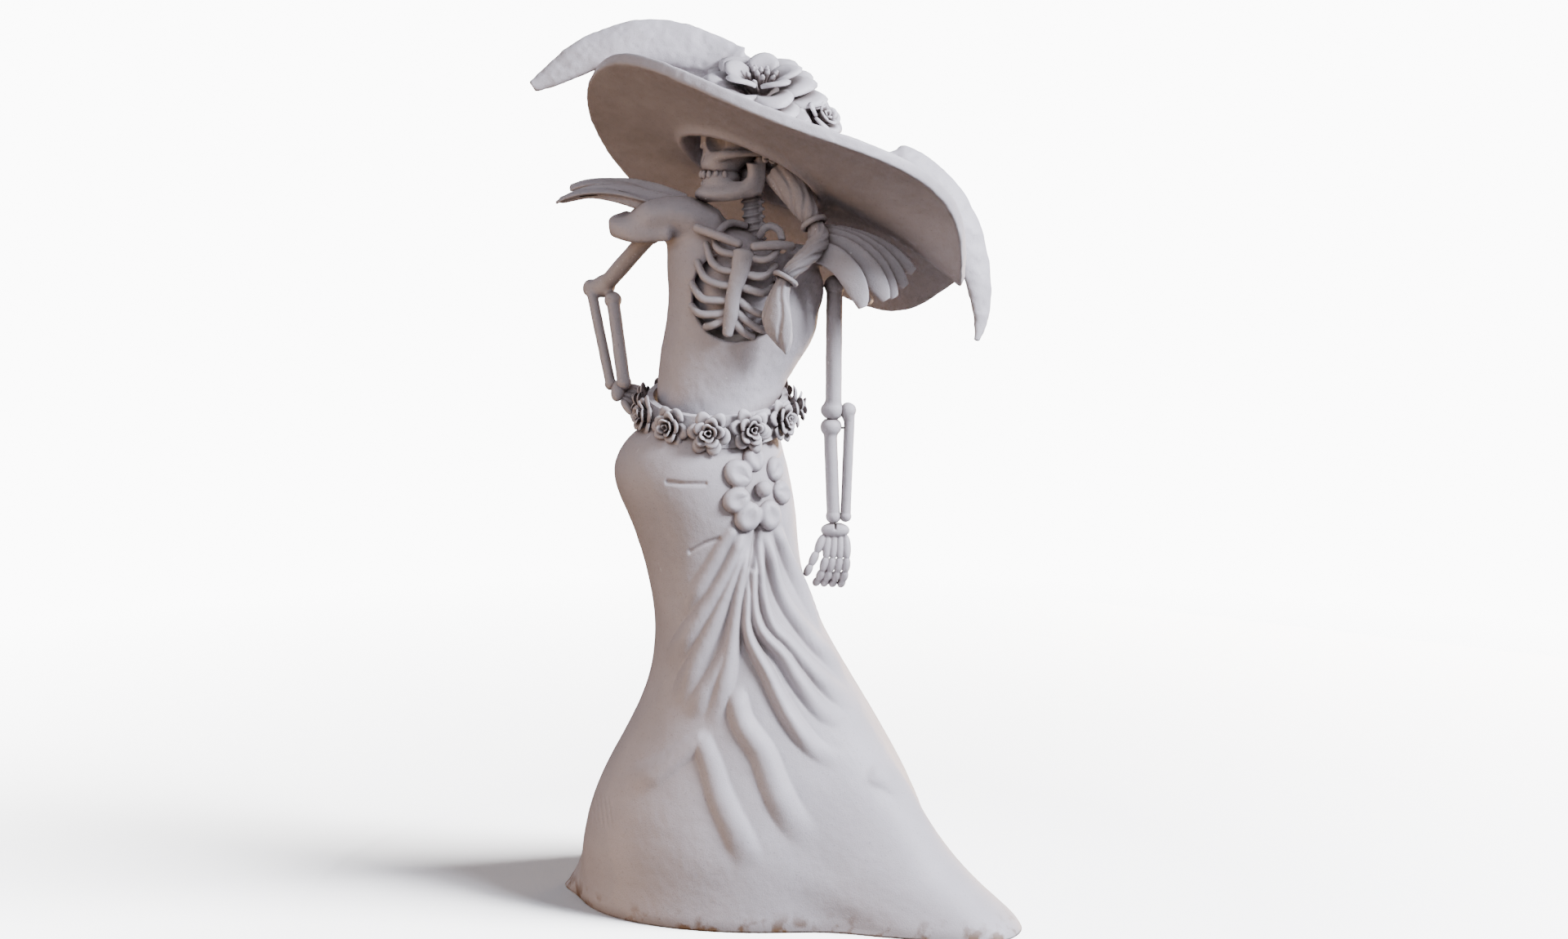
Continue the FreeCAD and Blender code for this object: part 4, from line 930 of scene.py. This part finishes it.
def build_feathers():
    """Blades of pulp with a shallow midrib; the plumes have ruffled edges."""
    clay = Clay.of("right_shoulder_feathers", step=0.4, room=4)
    clay.join(strand([(-46, -3, 356, 7, 3), (-64, -5, 361, 7, 3), (-80, -5, 365.5, 5.6, 2.6),
                      (-97, -5, 367, 3.8, 2.2), (-112, -5, 363, 2, 1.4)], (0, 0.4, 1), 16), 1)
    clay.join(strand([(-50, 7, 359, 7, 3), (-66, 8, 366, 6, 2.4), (-82, 8, 370, 4.6, 2),
                      (-99, 8, 371, 3, 1.7), (-108, 7, 369.5, 1.7, 1.2)], (0, 0.3, 1), 16), 1)
    clay.cut(strand([(-50, -8.3, 358, 0.7), (-80, -8, 366.5, 0.7), (-108, -6.5, 365, 0.4)],
                    count=14), 1.2)
    sculpt("right_shoulder_feathers_form", clay, FEATHER, ["right_shoulder_feathers"],
           rough=0.16)
    clay = Clay.of("left_shoulder_feathers", step=0.4, room=0.5)
    clay.grow(0.25)
    sculpt("left_shoulder_feathers_form", clay, FEATHER, ["left_shoulder_feathers"],
           rough=0.16)
    roots = {"hat_plume_right": [(-26, -6, 430, 9, 3), (-14, -10, 424, 7, 2.6),
                                 (-4, -14, 416, 4, 2)],
             "hat_plume_left": [(58, 6, 383.5, 6, 2.6), (52, 5, 384, 4, 2.2),
                                (44, 4, 385, 2.5, 1.8)]}
    for node, broad in (("hat_plume_right", (0.1, 0.3, 1)), ("hat_plume_left", (1, 0.6, 0.6))):
        clay = Clay.of(node, step=0.6, room=3)
        if node == "hat_plume_left":
            clay.cut(blob((48, 5, 389), (11, 12, 9)), 4)
        else:
            lower = [(-26, -2, 426, 8, 2.6), (-45, 0, 431, 9.5, 2.4), (-62, 0, 434, 9, 2.2),
                     (-82, -1, 433, 6, 2)]
            clay.join(strand(lower, broad, 16), 2)
        clay.join(strand(roots[node], broad, 10), 2)
        clay.soften(1)
        sculpt(node + "_form", clay, FEATHER, [node], body="hat",
               rough=0.45, seed=9)


build_feathers()


# ---------------------------------------------------------------- hat

LIFT = unit(next(j for j in frame["joints"] if j["name"] == "hat_lift")["axis"])


def build_hat():
    clay = Clay.of("hat_brim", "hat_crown", step=0.8, soft=6)
    corners, _ = cad_mesh("hat_crown")
    level = corners @ LIFT
    mouth = corners[level < level.min() + 1.5].mean(0)
    head = middle("skull", "hair_mass")
    head += LIFT * ((mouth - head) @ LIFT)
    across = unit(FORWARD - LIFT * (FORWARD @ LIFT))
    axes = np.array([across, np.cross(LIFT, across), LIFT])
    clay.join(blob(mouth + LIFT * 15, (38, 38, 5), axes), 4)
    # The hollow that takes the head is so tall that it also opens the top of the crown.
    clay.cut(blob(head, (34.5, 25, 60), axes), 4)
    clay.soften(2)
    sculpt("hat_form", clay, HAT, ["hat_brim", "hat_crown"], body="hat",
           rough=0.25, seed=6)


build_hat()

OPEN_RINGS = [(5, 0.62, 0.08, 0.5, 0.95, 0.05), (6, 0.6, 0.16, 0.68, 0.72, 0.2),
              (7, 0.55, 0.24, 0.74, 0.42, 0.35)]


def build_hat_flowers():
    centre = middle("hat_rose_large")
    axis = unit((0.05, -0.5, 0.86))
    base = centre - axis * 5
    parts = [rose(base, axis, 34, 19, 51, OPEN_RINGS, 1.5)]
    start = unit(np.cross(axis, (1, 0, 0)))
    side = np.cross(axis, start)
    clay = Clay(centre - 20, centre + 20, 0.5)
    for k in range(13):
        angle = 2.4 * k
        tilt = 0.12 + 0.06 * k
        way = unit(axis + (start * math.cos(angle) + side * math.sin(angle)) * tilt)
        root = base + axis * 2
        clay.join(strand([(*root, 0.8), (*(root + way * 10), 1.1), (*(root + way * 14), 1.5),
                          (*(root + way * 15.5), 0.9)]))
    corners, faces = gather(parts + [clay.mesh()])
    make("hat_rose_large_petals", corners, faces, FLOWER, ["hat_rose_large"], body="hat")
    centre = middle("hat_rose_small")
    axis = unit((0.6, -0.5, 0.5))
    corners, faces = rose(centre - axis * 5, axis, 16, 12, 71, ROSE_RINGS, 1.0)
    make("hat_rose_small_petals", corners, faces, FLOWER, ["hat_rose_small"], body="hat")
    clay = Clay.of("hat_leaves", step=0.4)
    sculpt("hat_leaves_form", clay, FLOWER, ["hat_leaves"], body="hat",
           rough=0.15)


build_hat_flowers()


# ---------------------------------------------------------------- carried-over CAD nodes

for node, material in (("base_plate", BOARD), ("ballast_block", PLASTER),
                       ("armature_rod", WIRE), ("torso_core", CORE), ("belt_band", DRESS),
                       ("left_shoulder_pin", WIRE), ("left_elbow_pin", WIRE),
                       ("left_wrist_pin", WIRE)):
    mesh = frame["nodes"][node].data
    mesh.materials.clear()
    mesh.materials.append(material)


# ---------------------------------------------------------------- room

# How brightly the empty room shows behind the figure.
BACKDROP = 11.0


def build_floor():
    """A wide pale floor that fades to plain white far from the figure."""
    rings, turns = 40, 96
    radii = [0] + list(np.geomspace(60, 9000, rings - 1))
    corners = [(r * math.cos(2 * math.pi * k / turns), r * math.sin(2 * math.pi * k / turns),
                -0.05) for r in radii for k in range(turns)]
    mesh = bpy.data.meshes.new("floor")
    mesh.from_pydata([tuple(c * MM for c in p) for p in corners], [],
                     grid_faces(rings, turns, wrap=True))
    floor = bpy.data.objects.new("floor", mesh)
    material = bpy.data.materials.new("floor_finish")
    material.use_nodes = True
    tree = material.node_tree
    shader = tree.nodes["Principled BSDF"]
    shader.inputs["Roughness"].default_value = 0.9
    shader.inputs["Specular IOR Level"].default_value = 0.0
    tone = mix_colours(tree, ramp(tree, noise(tree, 6, 3), 0.3, 0.7), (0.86, 0.86, 0.86),
                       (0.84, 0.84, 0.845))
    tree.links.new(tone, shader.inputs["Base Color"])
    glow = tree.nodes.new("ShaderNodeEmission")
    glow.inputs["Strength"].default_value = BACKDROP
    mix = tree.nodes.new("ShaderNodeMixShader")
    place = tree.nodes.new("ShaderNodeTexCoord").outputs["Object"]
    length = tree.nodes.new("ShaderNodeVectorMath")
    length.operation = "LENGTH"
    tree.links.new(place, length.inputs[0])
    tree.links.new(ramp(tree, length.outputs["Value"], 0.25, 1.0), mix.inputs[0])
    tree.links.new(shader.outputs[0], mix.inputs[1])
    tree.links.new(glow.outputs[0], mix.inputs[2])
    tree.links.new(mix.outputs[0], tree.nodes["Material Output"].inputs[0])
    mesh.materials.append(material)
    bpy.context.scene.collection.objects.link(floor)
    floor.visible_diffuse = False
    floor.visible_glossy = False
    return floor


FLOOR = build_floor()


def light(name, kind, energy, colour, place, aim=(0, 0, 220), size=0.3, only=None):
    """A soft light at a place in mm, aimed at a point; only limits what it lights."""
    data = bpy.data.lights.new(name, kind)
    data.energy = energy
    data.color = colour
    if kind == "SUN":
        data.angle = size
    else:
        data.shape = "DISK"
        data.size = size
    obj = bpy.data.objects.new(name, data)
    obj.location = Vector(place) * MM
    way = Vector(aim) - Vector(place)
    obj.rotation_euler = way.to_track_quat("-Z", "Y").to_euler()
    bpy.context.scene.collection.objects.link(obj)
    if only:
        group = bpy.data.collections.new(name + "_group")
        for o in only:
            group.objects.link(o)
        obj.light_linking.receiver_collection = group
    return obj


def build_lights():
    light("floor_sun", "SUN", 32, (1, 1, 1), (900, -200, 560), aim=(0, 0, 0), size=0.45,
          only=[FLOOR])
    light("key", "AREA", 60, (0.86, 0.89, 1.0), (1050, -520, 1000), size=0.45)
    light("front_fill", "AREA", 5.5, (0.95, 0.93, 1.0), (-350, -1300, 900), size=1.0)
    light("warm_low", "AREA", 5.5, (1.0, 0.62, 0.36), (-900, -300, -60), size=0.8)
    light("warm_back", "AREA", 9, (1.0, 0.66, 0.4), (500, 700, 60), size=0.6)
    world = bpy.data.worlds.new("room")
    bpy.context.scene.world = world
    world.use_nodes = True
    tree = world.node_tree
    background = tree.nodes["Background"]
    split = tree.nodes.new("ShaderNodeSeparateXYZ")
    tree.links.new(tree.nodes.new("ShaderNodeTexCoord").outputs["Generated"], split.inputs[0])
    sky = mix_colours(tree, ramp(tree, split.outputs[2], -0.6, 0.7), (0.045, 0.03, 0.02),
                      (0.26, 0.265, 0.31))
    seen = tree.nodes.new("ShaderNodeLightPath").outputs["Is Camera Ray"]
    tree.links.new(mix_colours(tree, seen, sky, (BACKDROP,) * 3), background.inputs[0])
    background.inputs[1].default_value = 1.0


build_lights()


def build_camera():
    data = bpy.data.cameras.new("camera")
    data.lens = 50
    data.sensor_width = 36
    camera = bpy.data.objects.new("camera", data)
    camera.location = (0, -1.1116, 0.3619)
    camera.rotation_euler = (math.radians(83), 0, 0)
    bpy.context.scene.collection.objects.link(camera)
    bpy.context.scene.camera = camera


build_camera()
